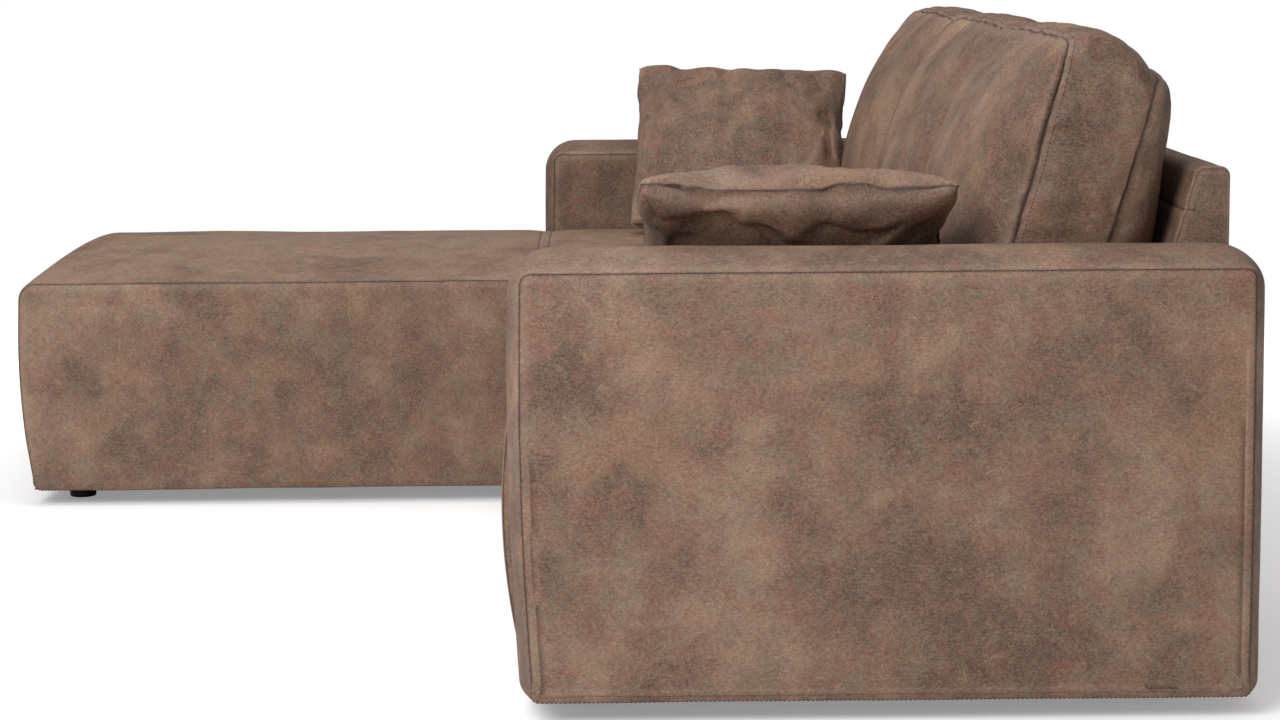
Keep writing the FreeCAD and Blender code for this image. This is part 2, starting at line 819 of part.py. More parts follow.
def arm_bolts():
    """Hexagon bolts from inside the arm, long enough to pass the nuts."""
    seat = arm_bolt_seat()
    tip = arm_nut_seat() - nut_plate_thickness - bolt_diameter / 2
    bolts = []
    for y in bolt_places():
        shank = rod(tip, seat, bolt_diameter, y, bolt_height)
        head = hexagon(seat, seat + bolt_head_height, bolt_head, y, bolt_height)
        bolts.append(shank.fuse(head).removeSplitter())
    return Part.makeCompound(bolts)


def arm_nuts():
    """A square threaded plate for each bolt, on the inside of the base rail."""
    seat = arm_nut_seat()
    half = nut_plate / 2
    nuts = []
    for y in bolt_places():
        plate = box(seat - nut_plate_thickness, seat, y - half, y + half,
                    bolt_height - half, bolt_height + half)
        bore = rod(seat - nut_plate, seat + nut_plate, bolt_diameter + thread_clearance, y, bolt_height)
        nuts.append(plate.cut(bore))
    return Part.makeCompound(nuts)


def joint_plate_places():
    return (seat_front + 2 * plate_length, seat_rear - 2 * plate_length)


def joint_screw_offset():
    return module_gap + cover_thickness + layer_gap + rail_thickness / 2


def joint_plates():
    """Steel plates under the bases that tie the two units together."""
    top = floor_gap - dust_cover_thickness
    width = joint_screw_offset() + 2 * screw_diameter
    plates = []
    for y in joint_plate_places():
        plates.append(box(chaise_side - width, chaise_side + width, y - plate_length / 2,
                          y + plate_length / 2, top - plate_thickness, top))
    return Part.makeCompound(plates).cut(joint_screw_holes())


def joint_screw_spots():
    return [(chaise_side + side * joint_screw_offset(), y) for y in joint_plate_places() for side in (-1, 1)]


def square_bar(width, bottom, top, x, y):
    half = width / 2
    return box(x - half, x + half, y - half, y + half, bottom, top)


def joint_screw_holes():
    """Square holes that stop the screws' square necks from turning."""
    top = floor_gap - dust_cover_thickness
    return Part.makeCompound([square_bar(screw_neck + screw_clearance, top - 2 * plate_thickness, top, x, y)
                              for x, y in joint_screw_spots()])


def joint_screws():
    """Coach screws with square necks, up through cloth and wrap into the end rails."""
    plate_top = floor_gap - dust_cover_thickness
    bottom = plate_top - plate_thickness
    screws = []
    for x, y in joint_screw_spots():
        shank = Part.makeCylinder(screw_diameter / 2, screw_length, V(x, y, plate_top))
        neck = square_bar(screw_neck, bottom, plate_top, x, y)
        head = square_bar(screw_head, bottom - plate_thickness, bottom, x, y)
        screws.append(shank.multiFuse([neck, head]).removeSplitter())
    return Part.makeCompound(screws)


# Write every piece

seat_left, seat_right = chaise_side + module_gap / 2, half_inner - module_gap
chaise_left, chaise_right = -half_inner + module_gap, chaise_side - module_gap / 2


def write_arm(side, place):
    holes = bolt_holes()
    pieces = {"frame": arm_frame().cut(holes), "boards": arm_boards().cut(holes),
              "padding": arm_padding(), "cover": arm_cover(),
              "dust_cover": arm_dust_cover(), "feet": feet(arm_feet_places()),
              "bolts": arm_bolts(), "nuts": arm_nuts()}
    for name, shape in pieces.items():
        save(place(shape), side + "_arm_" + name)


def write_unit(name, pieces):
    for piece, shape in pieces.items():
        save(shape, name + "_" + piece)


def backrest_pieces(x0, x1, posts, holes):
    return {"backrest_frame": backrest_frame(x0, x1, posts).cut(holes),
            "backrest_padding": backrest_padding(x0, x1),
            "backrest_cover": backrest_cover(x0, x1),
            "backrest_dust_cover": dust_cover(x0, x1, backrest_face(seam_height), backrest_rear)}


write_arm("right", lambda shape: shape)
write_arm("left", mirrored)

write_unit("seat", {"frame": seat_frame().cut(bolt_holes(1)), "webbing": seat_webbing(),
                    "felt": seat_felt(), "foam": seat_foam(), "cover": seat_cover(),
                    "dust_cover": seat_dust_cover(),
                    "feet": feet(seat_feet_places() + backrest_feet_places(seat_left, seat_right))})
write_unit("chaise", {"frame": chaise_frame().cut(bolt_holes(-1)), "webbing": chaise_webbing(),
                      "felt": chaise_felt(), "foam": chaise_foam(), "cover": chaise_cover(),
                      "dust_cover": chaise_dust_cover(),
                      "feet": feet(chaise_feet_places() + backrest_feet_places(chaise_left, chaise_right))})
write_unit("seat", backrest_pieces(seat_left, seat_right, 4, bolt_holes(1)))
write_unit("chaise", backrest_pieces(chaise_left, chaise_right, 3, bolt_holes(-1)))

save(joint_plates(), "joint_plates")
save(joint_screws(), "joint_screws")

for i, name in enumerate(("left", "middle", "right")):
    left = -half_inner + i * module_width
    save(back_cushion_cover(left), name + "_back_cushion_cover")
    save(back_cushion_filling(left), name + "_back_cushion_filling")

save(pillow_cover(upright_pillow), "left_scatter_cushion_cover")
save(upright_pillow(cover_thickness + layer_gap), "left_scatter_cushion_filling")
save(pillow_cover(reclined_pillow), "right_scatter_cushion_cover")
save(reclined_pillow(cover_thickness + layer_gap), "right_scatter_cushion_filling")
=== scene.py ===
import math

import bmesh
import bpy
import numpy as np
from bpy.props import FloatProperty, FloatVectorProperty, IntProperty, PointerProperty
from mathutils import Matrix, Vector


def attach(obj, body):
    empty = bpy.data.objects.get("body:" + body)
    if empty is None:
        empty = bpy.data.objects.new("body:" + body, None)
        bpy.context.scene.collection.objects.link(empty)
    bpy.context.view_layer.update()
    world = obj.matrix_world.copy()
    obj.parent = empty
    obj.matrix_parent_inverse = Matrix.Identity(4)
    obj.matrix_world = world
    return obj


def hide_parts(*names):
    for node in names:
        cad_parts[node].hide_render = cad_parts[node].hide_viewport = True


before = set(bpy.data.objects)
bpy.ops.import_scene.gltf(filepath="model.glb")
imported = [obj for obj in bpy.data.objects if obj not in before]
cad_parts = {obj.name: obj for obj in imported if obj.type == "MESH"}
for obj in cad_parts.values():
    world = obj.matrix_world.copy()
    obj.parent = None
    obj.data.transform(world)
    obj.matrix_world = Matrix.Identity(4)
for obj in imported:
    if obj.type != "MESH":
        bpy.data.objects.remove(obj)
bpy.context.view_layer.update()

HIDE, STEEL, FLEECE = "distressed_leatherette", "zinc_plated_steel", "needled_felt"
UNIT_GAP = 0.001            # between a unit's cover and the joint beside it
HALF_GAP = 0.0005           # between a backrest's cover and the joint between the backrests
BACK_LEAN = math.radians(16.0)
BACK_OVERHANG = 0.005       # how far the backrests stand behind the arms' rear seams
BACK_TOP_DEPTH = 0.046      # depth of a backrest's top
STRAPS_BELOW_SEAM = 0.154   # from a seat's top seam down to its straps
SEAM_WIDTH = 0.0012
RINGS = (0.0011, 0.0026, 0.0048, 0.0080, 0.0125)   # rings of faces inside a panel's seam
FOOT_SIDES = 48
FOOT_PROFILE = np.array([(0.0, 0.0012), (0.0180, 0.0012), (0.0192, 0.0), (0.0222, 0.0), (0.0238, 0.0008),
                         (0.0248, 0.0030), (0.0250, 0.0085), (0.0243, 0.0092), (0.0243, 0.0104),
                         (0.0250, 0.0111), (0.0250, 0.0235), (0.0246, 0.0268), (0.0228, 0.0286),
                         (0.0, 0.0289)])   # radius and height
STRAP_HALF = 0.030
STRAP_ACROSS = np.array([-STRAP_HALF, -0.0295, -0.0285, 0.0, 0.0285, 0.0295, STRAP_HALF])
STRAP_THICK = np.array([0.0004, 0.0010, 0.0016, 0.0016, 0.0016, 0.0010, 0.0004])
CAMERA_LENS, SENSOR_WIDTH = 83.643, 36.0
CAMERA_PLACE = (5.135858, 0.129621, 1.012889)
CAMERA_YAW, CAMERA_PITCH, CAMERA_ROLL = 0.0080, 0.1352, -0.0080
FLOOR_REACH = 80.0
STRAP_PITCH = (0.128, 0.290)   # between the straps' middles, along the sofa and across it
FELT_RISE = 0.0068          # from the straps' level to the felt's underside
FELT_THICKNESS, CLOTH_THICKNESS = 0.0030, 0.0004
CLOTH_EDGE = 0.013          # from a cover's outline to its dust cloth's edge
STAPLE_INSET = 0.009
STAPLES = {"Pitch": 0.055, "Width": 0.0105, "Wire": 0.0010}
# Painted light and shade: how far the leatherette's colour is painted lighter or darker on each piece, its tops,
# sides and rears, for the light that falls on them
PAINTED_LIGHT_LEVELS = {"left_arm": -0.42, "right_arm": 0.0, "arm_top": -0.22, "chaise_top": 0.55, "chaise_side": -0.08,
          "back_cushion": 0.12, "back_cushion_rear": -0.38, "left_scatter": -0.40, "right_scatter": -0.04}
BACK_CUSHION_CLOTH = {"pressure": 1.2, "shrink": -0.014, "bending": 0.35}
BACK_CUSHION_CAP = 0.012    # how far the cloth simulation may move a point
SCATTER_CLOTH = {"pressure": 3.2, "shrink": -0.018, "bending": 0.5}
SCATTER_CAP = 0.0050

bl_info = {
    "name": "Sectional sofa with chaise",
    "version": (1, 0, 0),
    "blender": (4, 5, 0),
    "location": "3D View > Sidebar > Sofa",
    "description": "Dresses the frame of a sectional sofa with its covers, cushions, seams and finishes",
    "category": "Add Mesh",
}


# Sizes and colours a user would change

def length(name, description, value):
    return FloatProperty(name=name, description=description, default=value, subtype="DISTANCE", unit="LENGTH")


def tint(name, description, value):
    return FloatVectorProperty(name=name, description=description, default=value, subtype="COLOR", min=0, max=1)


class SofaSizes(bpy.types.PropertyGroup):
    module: length("Seat width", "Width of one seat between its joints", 0.710)
    arm_width: length("Arm width", "Width of an arm between its two panels", 0.220)
    arm_depth: length("Arm depth", "Length of an arm's panel from front to back", 0.967)
    arm_height: length("Arm height", "Height of an arm's top seam", 0.605)
    rear: length("Rear seam", "Where the arms' rear seams stand, behind the middle", 0.9695)
    chaise_reach: length("Chaise reach", "From the rear seam to the chaise's front seam", 1.947)
    seat_setback: length("Seat reach", "How far the seats stand in front of the arms", 0.018)
    seam_height: length("Seat seam height", "Height of the seam round a seat's top", 0.420)
    back_height: length("Backrest height", "Height of the backrest's top", 0.720)
    floor_gap: length("Floor gap", "Gap between the floor and the covers", 0.030)


class CushionSizes(bpy.types.PropertyGroup):
    height: length("Back cushion height", "Height of a back cushion at its front seam", 0.438)
    depth: length("Back cushion depth", "Depth of a back cushion at its base", 0.212)
    swell: length("Back cushion swell", "How far a back cushion's front swells out", 0.050)
    lean: FloatProperty(name="Back cushion lean", description="Lean of a back cushion's front",
                        default=math.radians(15), subtype="ANGLE", unit="ROTATION")
    scatter: length("Scatter cushion side", "Side of a scatter cushion, filled", 0.434)
    scatter_thickness: length("Scatter cushion thickness", "Thickness of a scatter cushion", 0.168)
    settle_frames: IntProperty(name="Settling steps", description="Steps of the cloth simulation", default=20)


class SeamSizes(bpy.types.PropertyGroup):
    pitch: length("Stitch pitch", "From one stitch to the next", 0.0062)
    stitch: length("Stitch length", "Length of one stitch", 0.0044)
    thread: length("Thread thickness", "Thickness of the sewing thread", 0.0011)
    piping: length("Piping thickness", "Thickness of the piping round a backrest's end", 0.0045)


class LeatherColours(bpy.types.PropertyGroup):
    base: tint("Leatherette", "Main colour of the leatherette", (0.166, 0.084, 0.053))
    # The dark and light cloud colours also give the painted shade and painted light of the per-piece offsets
    dark: tint("Dark clouds", "Colour of the dark clouds", (0.064, 0.026, 0.017))
    light: tint("Light clouds", "Colour of the worn, light clouds", (0.300, 0.182, 0.118))
    red: tint("Reddish patches", "Colour of the reddish patches", (0.215, 0.070, 0.042))
    olive: tint("Olive patches", "Colour of the olive grey patches", (0.150, 0.128, 0.080))
    thread: tint("Thread", "Colour of the sewing thread", (0.045, 0.026, 0.019))


class StageLevels(bpy.types.PropertyGroup):
    key: FloatProperty(name="Key light", description="Power of the large light on the right", default=215.0)
    top: FloatProperty(name="Top light", description="Power of the light overhead", default=70.0)
    fill: FloatProperty(name="Fill", description="Strength of the light from all round", default=0.37)


# Shader building

class Signal:
    """A shader socket that can be reckoned with: an expression adds its Math nodes."""

    def __init__(self, finish, socket):
        self.finish, self.socket = finish, socket

    def _maths(self, operation, *values, clamp=False):
        inputs = {i: v for i, v in enumerate(values)}
        return self.finish.node("ShaderNodeMath", {"operation": operation, "use_clamp": clamp}, inputs).out(0)

    def __add__(self, other):
        return self._maths("ADD", self, other)

    def __sub__(self, other):
        return self._maths("SUBTRACT", self, other)

    def __rsub__(self, other):
        return self._maths("SUBTRACT", other, self)

    def __mul__(self, other):
        return self._maths("MULTIPLY", self, other)

    __radd__, __rmul__ = __add__, __mul__

    def clamped(self):
        return self._maths("ADD", self, 0.0, clamp=True)

    def band(self, low, high):
        """0 below low, 1 above high and smooth between."""
        return self.finish.node("ShaderNodeMapRange", {"interpolation_type": "SMOOTHSTEP"},
                                {0: self, 1: low, 2: high}).out(0)


class Placed:
    """A node in a finish."""

    def __init__(self, finish, node):
        self.finish, self.node = finish, node

    def out(self, key):
        return Signal(self.finish, self.node.outputs[key])


class Finish:
    """One material and its nodes."""

    def __init__(self, name):
        self.material = bpy.data.materials.new(name)
        self.material.use_nodes = True
        self.tree = self.material.node_tree
        self.tree.nodes.clear()

    def node(self, kind, settings, sockets):
        made = self.tree.nodes.new(kind)
        for key, value in settings.items():
            if key == "stops":
                ramp = made.color_ramp
                while len(ramp.elements) < len(value):
                    ramp.elements.new(0.5)
                for element, (place, colour) in zip(ramp.elements, value):
                    element.position, element.color = place, (*colour, 1)
            else:
                setattr(made, key, value)
        for key, value in sockets.items():
            if isinstance(value, Signal):
                self.tree.links.new(value.socket, made.inputs[key])
            elif isinstance(value, tuple) and len(value) == 3 and made.inputs[key].type == "RGBA":
                made.inputs[key].default_value = (*value, 1)
            else:
                made.inputs[key].default_value = value
        return Placed(self, made)

    def noise(self, place, scale, detail=2.0, roughness=0.5, distortion=0.0):
        return self.node("ShaderNodeTexNoise", {}, {"Vector": place, "Scale": scale, "Detail": detail,
                                                    "Roughness": roughness, "Distortion": distortion}).out("Fac")

    def stretched(self, place, scale, turn=(0, 0, 0), move=(0, 0, 0)):
        return self.node("ShaderNodeMapping", {}, {"Vector": place, "Scale": scale, "Rotation": turn,
                                                   "Location": move}).out(0)

    def mix(self, factor, a, b, blend="MIX"):
        settings = {"data_type": "RGBA", "blend_type": blend}
        return self.node("ShaderNodeMix", settings, {0: factor, 6: a, 7: b}).out(2)

    def attribute(self, name, output):
        return self.node("ShaderNodeAttribute", {"attribute_name": name}, {}).out(output)

    def place(self):
        return self.node("ShaderNodeTexCoord", {}, {}).out("Object")

    def bump(self, height, strength, distance, normal=None):
        sockets = {"Height": height, "Strength": strength, "Distance": distance}
        if normal is not None:
            sockets["Normal"] = normal
        return self.node("ShaderNodeBump", {}, sockets).out(0)

    def surface(self, sockets):
        shader = self.node("ShaderNodeBsdfPrincipled", {}, sockets)
        self.node("ShaderNodeOutputMaterial", {}, {0: shader.out(0)})
        return self.material


def leather_finish(colours):
    """Distressed leatherette: soft clouds, reddish and olive patches, short nap and dark seams."""
    f = Finish(HIDE)
    lay = f.attribute("lay", "Vector")
    seam = f.attribute("seam", "Fac")
    rim = f.attribute("rim", "Fac")
    broad = f.noise(lay, 3.2, 2.0, 0.5, 0.3)
    clouds = f.noise(lay, 9.0, 4.0, 0.52, 0.25)
    patches = f.noise(lay, 38.0, 3.0, 0.62, 0.5)
    # painted light and shade: each piece's offset moves its tone towards the light or the dark cloud colour
    shade = f.attribute("shade", "Fac")
    tone = (broad + clouds * 1.35 + patches * 0.35 - 1.35) * 2.5 + 0.5 + shade
    colour = f.mix(tone.band(-0.05, 0.62), tuple(colours.dark), tuple(colours.base))
    colour = f.mix(tone.band(0.45, 1.20), colour, tuple(colours.light))
    reds = f.noise(f.stretched(lay, (1, 1, 1), move=(3.1, 0.4, 1.7)), 26.0, 6.0, 0.72, 0.5)
    colour = f.mix(reds.band(0.46, 0.64) * 0.62, colour, tuple(colours.red))
    olives = f.noise(f.stretched(lay, (1, 1, 1), move=(7.3, 2.2, 5.1)), 22.0, 6.0, 0.72, 0.5)
    colour = f.mix(olives.band(0.47, 0.66) * 0.60, colour, tuple(colours.olive))
    tans = f.noise(f.stretched(lay, (1, 1, 1), move=(2.2, 6.1, 0.9)), 7.5, 3.0, 0.55, 0.2)
    colour = f.mix(tans.band(0.54, 0.68) * 0.45, colour, (0.33, 0.175, 0.088))
    ochres = f.noise(f.stretched(lay, (1, 1, 1), move=(1.3, 8.2, 4.6)), 60.0, 4.0, 0.7, 0.5)
    colour = f.mix(ochres.band(0.56, 0.72) * 0.45, colour, (0.40, 0.235, 0.125))
    nap = f.noise(lay, 330.0, 3.0, 0.65, 1.2)
    fibres = f.noise(f.stretched(lay, (1.0, 1.0, 2.2), turn=(0.5, 0.3, 0.6)), 210.0, 3.0, 0.62, 0.8)
    warm = f.noise(f.stretched(lay, (1, 1, 1), move=(5.5, 1.1, 0.3)), 240.0, 2.0, 0.6, 0.5)
    flecks = (nap.band(0.32, 0.70) + fibres.band(0.32, 0.70)) * 0.5
    dull = f.mix(0.48, colour, (0.046, 0.018, 0.011))
    bright = f.mix(0.30, colour, (0.56, 0.44, 0.34))
    colour = f.mix(flecks, dull, bright)
    colour = f.mix(warm.band(0.54, 0.70) * 0.30, colour, (0.34, 0.12, 0.07))
    colour = f.mix((1 - warm.band(0.30, 0.45)) * 0.26, colour, (0.120, 0.100, 0.055))
    colour = f.mix(rim * 0.12, colour, (0.44, 0.31, 0.24))
    colour = f.mix(seam * 0.72, colour, (0.020, 0.010, 0.008))
    pores = f.noise(lay, 900.0, 1.0, 0.5)
    height = nap * 0.6 + pores * 0.3 + fibres * 0.5
    normal = f.bump(height, 0.22, 0.0009)
    normal = f.bump(clouds * 0.7 + f.noise(lay, 65.0, 2.0), 0.14, 0.003, normal)
    rough = 0.60 + tone * -0.05 + nap * 0.16
    return f.surface({"Base Color": colour, "Roughness": rough.clamped(), "Normal": normal,
                      "Specular IOR Level": 0.30})


def thread_finish(colours):
    f = Finish("sewing_thread")
    place = f.place()
    twist = f.noise(f.stretched(place, (1, 1, 1), turn=(0.7, 0.2, 0.4)), 1600.0, 1.0)
    colour = f.mix(twist, tuple(0.6 * c for c in colours.thread), tuple(1.9 * c for c in colours.thread))
    return f.surface({"Base Color": colour, "Roughness": 0.7 + twist * 0.2,
                      "Normal": f.bump(twist, 0.4, 0.0003)})


def timber_finish():
    """Sawn pine: rings stretched along the sofa or its depth, knots and saw marks."""
    f = Finish("sawn_pine")
    place = f.place()
    long_way = f.stretched(place, (1.0, 1.0, 9.0))
    rings = f.node("ShaderNodeTexWave", {"wave_type": "BANDS", "bands_direction": "Z"},
                   {"Vector": long_way, "Scale": 9.0, "Distortion": 6.0, "Detail": 3.0,
                    "Detail Scale": 1.2}).out("Fac")
    fine = f.noise(f.stretched(place, (4.0, 4.0, 90.0)), 9.0, 4.0, 0.6)
    knots = f.noise(place, 7.0, 1.0)
    colour = f.mix(rings.band(0.35, 0.9) * 0.7, (0.62, 0.43, 0.235), (0.40, 0.235, 0.11))
    colour = f.mix(fine.band(0.35, 0.75) * 0.45, colour, (0.70, 0.53, 0.33))
    colour = f.mix(knots.band(0.70, 0.76), colour, (0.13, 0.065, 0.03))
    return f.surface({"Base Color": colour, "Roughness": 0.62 + fine * 0.2,
                      "Normal": f.bump(fine + rings * 0.4, 0.3, 0.0008)})


def board_finish():
    f = Finish("hardboard")
    place = f.place()
    chips = f.node("ShaderNodeTexVoronoi", {}, {"Vector": place, "Scale": 340.0}).out("Distance")
    haze = f.noise(place, 22.0, 4.0, 0.65)
    colour = f.mix(haze, (0.185, 0.095, 0.045), (0.30, 0.175, 0.090))
    colour = f.mix(chips.band(0.1, 0.8) * 0.35, colour, (0.11, 0.055, 0.028))
    return f.surface({"Base Color": colour, "Roughness": 0.5 + haze * 0.2,
                      "Normal": f.bump(chips, 0.2, 0.0004)})


def webbing_finish():
    """Black elastic webbing with its woven ribs and two light lines."""
    f = Finish("elastic_webbing")
    uv = f.node("ShaderNodeUVMap", {}, {}).out(0)
    ribs = f.node("ShaderNodeTexWave", {"wave_type": "BANDS", "bands_direction": "Y"},
                  {"Vector": uv, "Scale": 130.0, "Distortion": 0.4}).out("Fac")
    warp = f.node("ShaderNodeTexWave", {"wave_type": "BANDS", "bands_direction": "X"},
                  {"Vector": uv, "Scale": 160.0, "Distortion": 0.3}).out("Fac")
    across = f.node("ShaderNodeSeparateXYZ", {}, {0: uv}).out(0)
    line = across.band(0.0125, 0.0135) * (1 - across.band(0.0165, 0.0175))
    other = across.band(0.0425, 0.0435) * (1 - across.band(0.0465, 0.0475))
    colour = f.mix(ribs * 0.6 + warp * 0.3, (0.010, 0.010, 0.011), (0.036, 0.035, 0.036))
    colour = f.mix((line + other).clamped() * 0.8, colour, (0.30, 0.28, 0.25))
    return f.surface({"Base Color": colour, "Roughness": 0.75 + warp * 0.1,
                      "Normal": f.bump(ribs * 0.6 + warp * 0.5, 0.6, 0.0006)})


def fleece_finish(name, dark, light, scale, rough):
    """Needled or spun-bonded cloth: tangled fibres with thin and thick places."""
    f = Finish(name)
    place = f.place()
    haze = f.noise(place, scale * 0.06, 3.0, 0.6)
    fibres = f.noise(f.stretched(place, (1.0, 0.35, 1.0), turn=(0, 0, 0.6)), scale, 4.0, 0.7, 2.0)
    crossed = f.noise(f.stretched(place, (0.35, 1.0, 1.0), turn=(0, 0, 0.2)), scale, 4.0, 0.7, 2.0)
    colour = f.mix((haze * 0.4 + fibres * 0.5 + crossed * 0.4 - 0.15).clamped(), dark, light)
    return f.surface({"Base Color": colour, "Roughness": rough, "Normal": f.bump(fibres + crossed, 0.5, 0.0008)})


def plastic_finish():
    f = Finish("moulded_plastic")
    place = f.place()
    texture = f.node("ShaderNodeTexVoronoi", {}, {"Vector": place, "Scale": 900.0}).out("Distance")
    scuffs = f.noise(place, 60.0, 4.0, 0.7)
    colour = f.mix(scuffs.band(0.55, 0.8), (0.0105, 0.0105, 0.011), (0.030, 0.029, 0.028))
    return f.surface({"Base Color": colour, "Roughness": 0.42 + scuffs * 0.25,
                      "Normal": f.bump(texture, 0.15, 0.0003)})


def steel_finish():
    """Zinc plated steel: crystalline patches and fine brushing."""
    f = Finish(STEEL)
    place = f.place()
    spangle = f.node("ShaderNodeTexVoronoi", {}, {"Vector": place, "Scale": 160.0}).out("Color")
    haze = f.noise(place, 90.0, 3.0, 0.6)
    brushed = f.noise(f.stretched(place, (1.0, 30.0, 30.0)), 60.0, 2.0)
    colour = f.mix(0.10, (0.56, 0.57, 0.58), spangle)
    colour = f.mix(haze.band(0.55, 0.8) * 0.4, colour, (0.42, 0.40, 0.36))
    return f.surface({"Base Color": colour, "Metallic": 1.0, "Roughness": 0.28 + haze * 0.22,
                      "Normal": f.bump(brushed, 0.12, 0.0003)})


def finishes():
    """All finishes, made once."""
    scene = bpy.context.scene
    if HIDE not in bpy.data.materials:
        leather_finish(scene.sofa_colours)
        thread_finish(scene.sofa_colours)
        timber_finish()
        board_finish()
        webbing_finish()
        fleece_finish(FLEECE, (0.16, 0.16, 0.165), (0.42, 0.41, 0.41), 420.0, 0.95)
        fleece_finish("spun_dust_cloth", (0.006, 0.006, 0.006), (0.030, 0.030, 0.031), 700.0, 0.9)
        plastic_finish()
        steel_finish()
    return bpy.data.materials


# Noise and mesh helpers

def lattice(cells, seed):
    """A repeatable number from 0 to 1 for each whole-numbered cell."""
    n = cells.astype(np.int64)
    h = n[..., 0] * 374761393 + n[..., 1] * 668265263 + n[..., 2] * 2147483647 + seed * 974711
    h = (h ^ (h >> 13)) * 1274126177
    return ((h ^ (h >> 16)) & 0xFFFFFF) / float(0xFFFFFF)


def drift(points, size, seed):
    """Smooth noise from -1 to 1 over points, with features of one size."""
    p = np.atleast_2d(points) / size
    cell = np.floor(p)
    t = p - cell
    t = t * t * t * (t * (t * 6 - 15) + 10)
    total = 0.0
    for corner in range(8):
        c = np.array([(corner >> k) & 1 for k in range(3)])
        weight = np.prod(np.where(c, t, 1 - t), axis=-1)
        total = total + weight * lattice(cell + c, seed)
    return total * 2 - 1


def ease(x, low, high):
    t = np.clip((x - low) / (high - low), 0, 1)
    return t * t * (3 - 2 * t)


def inside_span(x, left, right, near, far):
    """1 between left and right, 0 nearer than near to either and smooth out to far."""
    return ease(x, left + near, left + far) * (1 - ease(x, right - far, right - near))


def arched(middle, half):
    """How full a cover is at some x: 1 at its middle, 0 at its ends."""
    return lambda x: 1 - ((x - middle) / half) ** 2


def seam_spacing(span, step, first=0.0012, growth=1.55):
    """Distances across a panel: close together beside the seams at its two ends."""
    near, gap = [0.0], first
    while gap < step and near[-1] + gap < span / 2:
        near.append(near[-1] + gap)
        gap *= growth
    left = span / 2 - near[-1]
    count = max(int(round(left / step)), 1)
    half = near + [near[-1] + left * (i + 1) / count for i in range(count)]
    return np.array(half + [span - d for d in reversed(half[:-1])])


class Cover:
    """Collects the panels of a sewn cover: points, faces, the panel of each face, seams and rims."""

    def __init__(self):
        self.points, self.faces, self.panels, self.seams, self.rims = [], [], [], [], []
        self.count = 0

    def add(self, points, seam=0.0, rim=0.0):
        points = np.asarray(points, float)
        flat = points.reshape(-1, 3)
        self.points.append(flat)
        self.seams.append(np.broadcast_to(np.asarray(seam, float), points.shape[:-1]).reshape(-1))
        self.rims.append(np.broadcast_to(np.asarray(rim, float), points.shape[:-1]).reshape(-1))
        ids = np.arange(self.count, self.count + len(flat)).reshape(points.shape[:-1])
        self.count += len(flat)
        return ids

    def quads(self, ids, panel, closed=False, flip=False):
        if closed:
            ids = np.concatenate([ids, ids[:, :1]], axis=1)
        a, b, c, d = ids[:-1, :-1], ids[1:, :-1], ids[1:, 1:], ids[:-1, 1:]
        order = (d, c, b, a) if flip else (a, b, c, d)
        made = np.stack(order, -1).reshape(-1, 4)
        self.faces.append(made)
        self.panels.append(np.full(len(made), panel))

    def arrays(self):
        return (np.concatenate(self.points), np.concatenate(self.faces), np.concatenate(self.panels),
                np.concatenate(self.seams), np.concatenate(self.rims))


def normals_of(points, faces):
    """Averaged vertex normals of a mesh of four-cornered faces."""
    a, b, c, d = (points[faces[:, k]] for k in range(4))
    face = np.cross(c - a, d - b)
    total = np.zeros_like(points)
    for k in range(4):
        np.add.at(total, faces[:, k], face)
    return total / np.maximum(np.linalg.norm(total, axis=1), 1e-12)[:, None]


def mesh_object(name, points, faces, material, smooth=True, outward=False):
    """An object of one mesh. outward turns its faces outwards, whatever the order of their corners."""
    mesh = bpy.data.meshes.new(name)
    mesh.from_pydata(points.tolist(), [], faces.tolist() if isinstance(faces, np.ndarray) else faces)
    mesh.materials.append(bpy.data.materials[material])
    if outward:
        work = bmesh.new()
        work.from_mesh(mesh)
        bmesh.ops.recalc_face_normals(work, faces=work.faces)
        work.to_mesh(mesh)
        work.free()
    if smooth:
        mesh.polygons.foreach_set("use_smooth", np.ones(len(mesh.polygons), bool))
    mesh.update()
    obj = bpy.data.objects.new(name, mesh)
    bpy.context.scene.collection.objects.link(obj)
    return obj


def dress(obj, rest, panels, seams, rims, seed, shade=0.0):
    """Stores where each corner lies on its hide, how near it is to a seam or a rim, and the painted light and
    shade of its piece.
    """
    mesh = obj.data
    rng = np.random.default_rng(seed)
    shifts = rng.uniform(-3, 3, (int(panels.max()) + 1, 3))
    corner_vertex = np.empty(len(mesh.loops), np.int32)
    mesh.loops.foreach_get("vertex_index", corner_vertex)
    totals = np.empty(len(mesh.polygons), np.int32)
    mesh.polygons.foreach_get("loop_total", totals)
    corner_panel = np.repeat(panels, totals)
    lay = rest[corner_vertex] + shifts[corner_panel]
    mesh.attributes.new("lay", "FLOAT_VECTOR", "CORNER").data.foreach_set("vector", lay.ravel().astype(np.float32))
    for label, values in (("seam", seams), ("rim", rims), ("shade", np.broadcast_to(shade, len(mesh.vertices)))):
        mesh.attributes.new(label, "FLOAT", "POINT").data.foreach_set("value", values.astype(np.float32))


def made_plain(obj):
    """The mesh that an object's modifiers make, as a plain mesh."""
    return bpy.data.meshes.new_from_object(obj.evaluated_get(bpy.context.evaluated_depsgraph_get()))


def finished(obj, body, slot, *nodes):
    """Parents a finished piece to its body and hides the nodes that it stands for."""
    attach(obj, body)
    if nodes:
        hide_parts(*nodes)
    return obj


# Forms of the upholstery

def bend(start, corner, end, count):
    """A rounded corner from start to end, as count + 1 points."""
    start, corner, end = (np.asarray(p, float) for p in (start, corner, end))
    k = 0.5523
    a, b = start + (corner - start) * k, end + (corner - end) * k
    t = np.linspace(0, 1, count + 1)[:, None]
    return start * (1 - t) ** 3 + 3 * a * t * (1 - t) ** 2 + 3 * b * t * t * (1 - t) + end * t ** 3


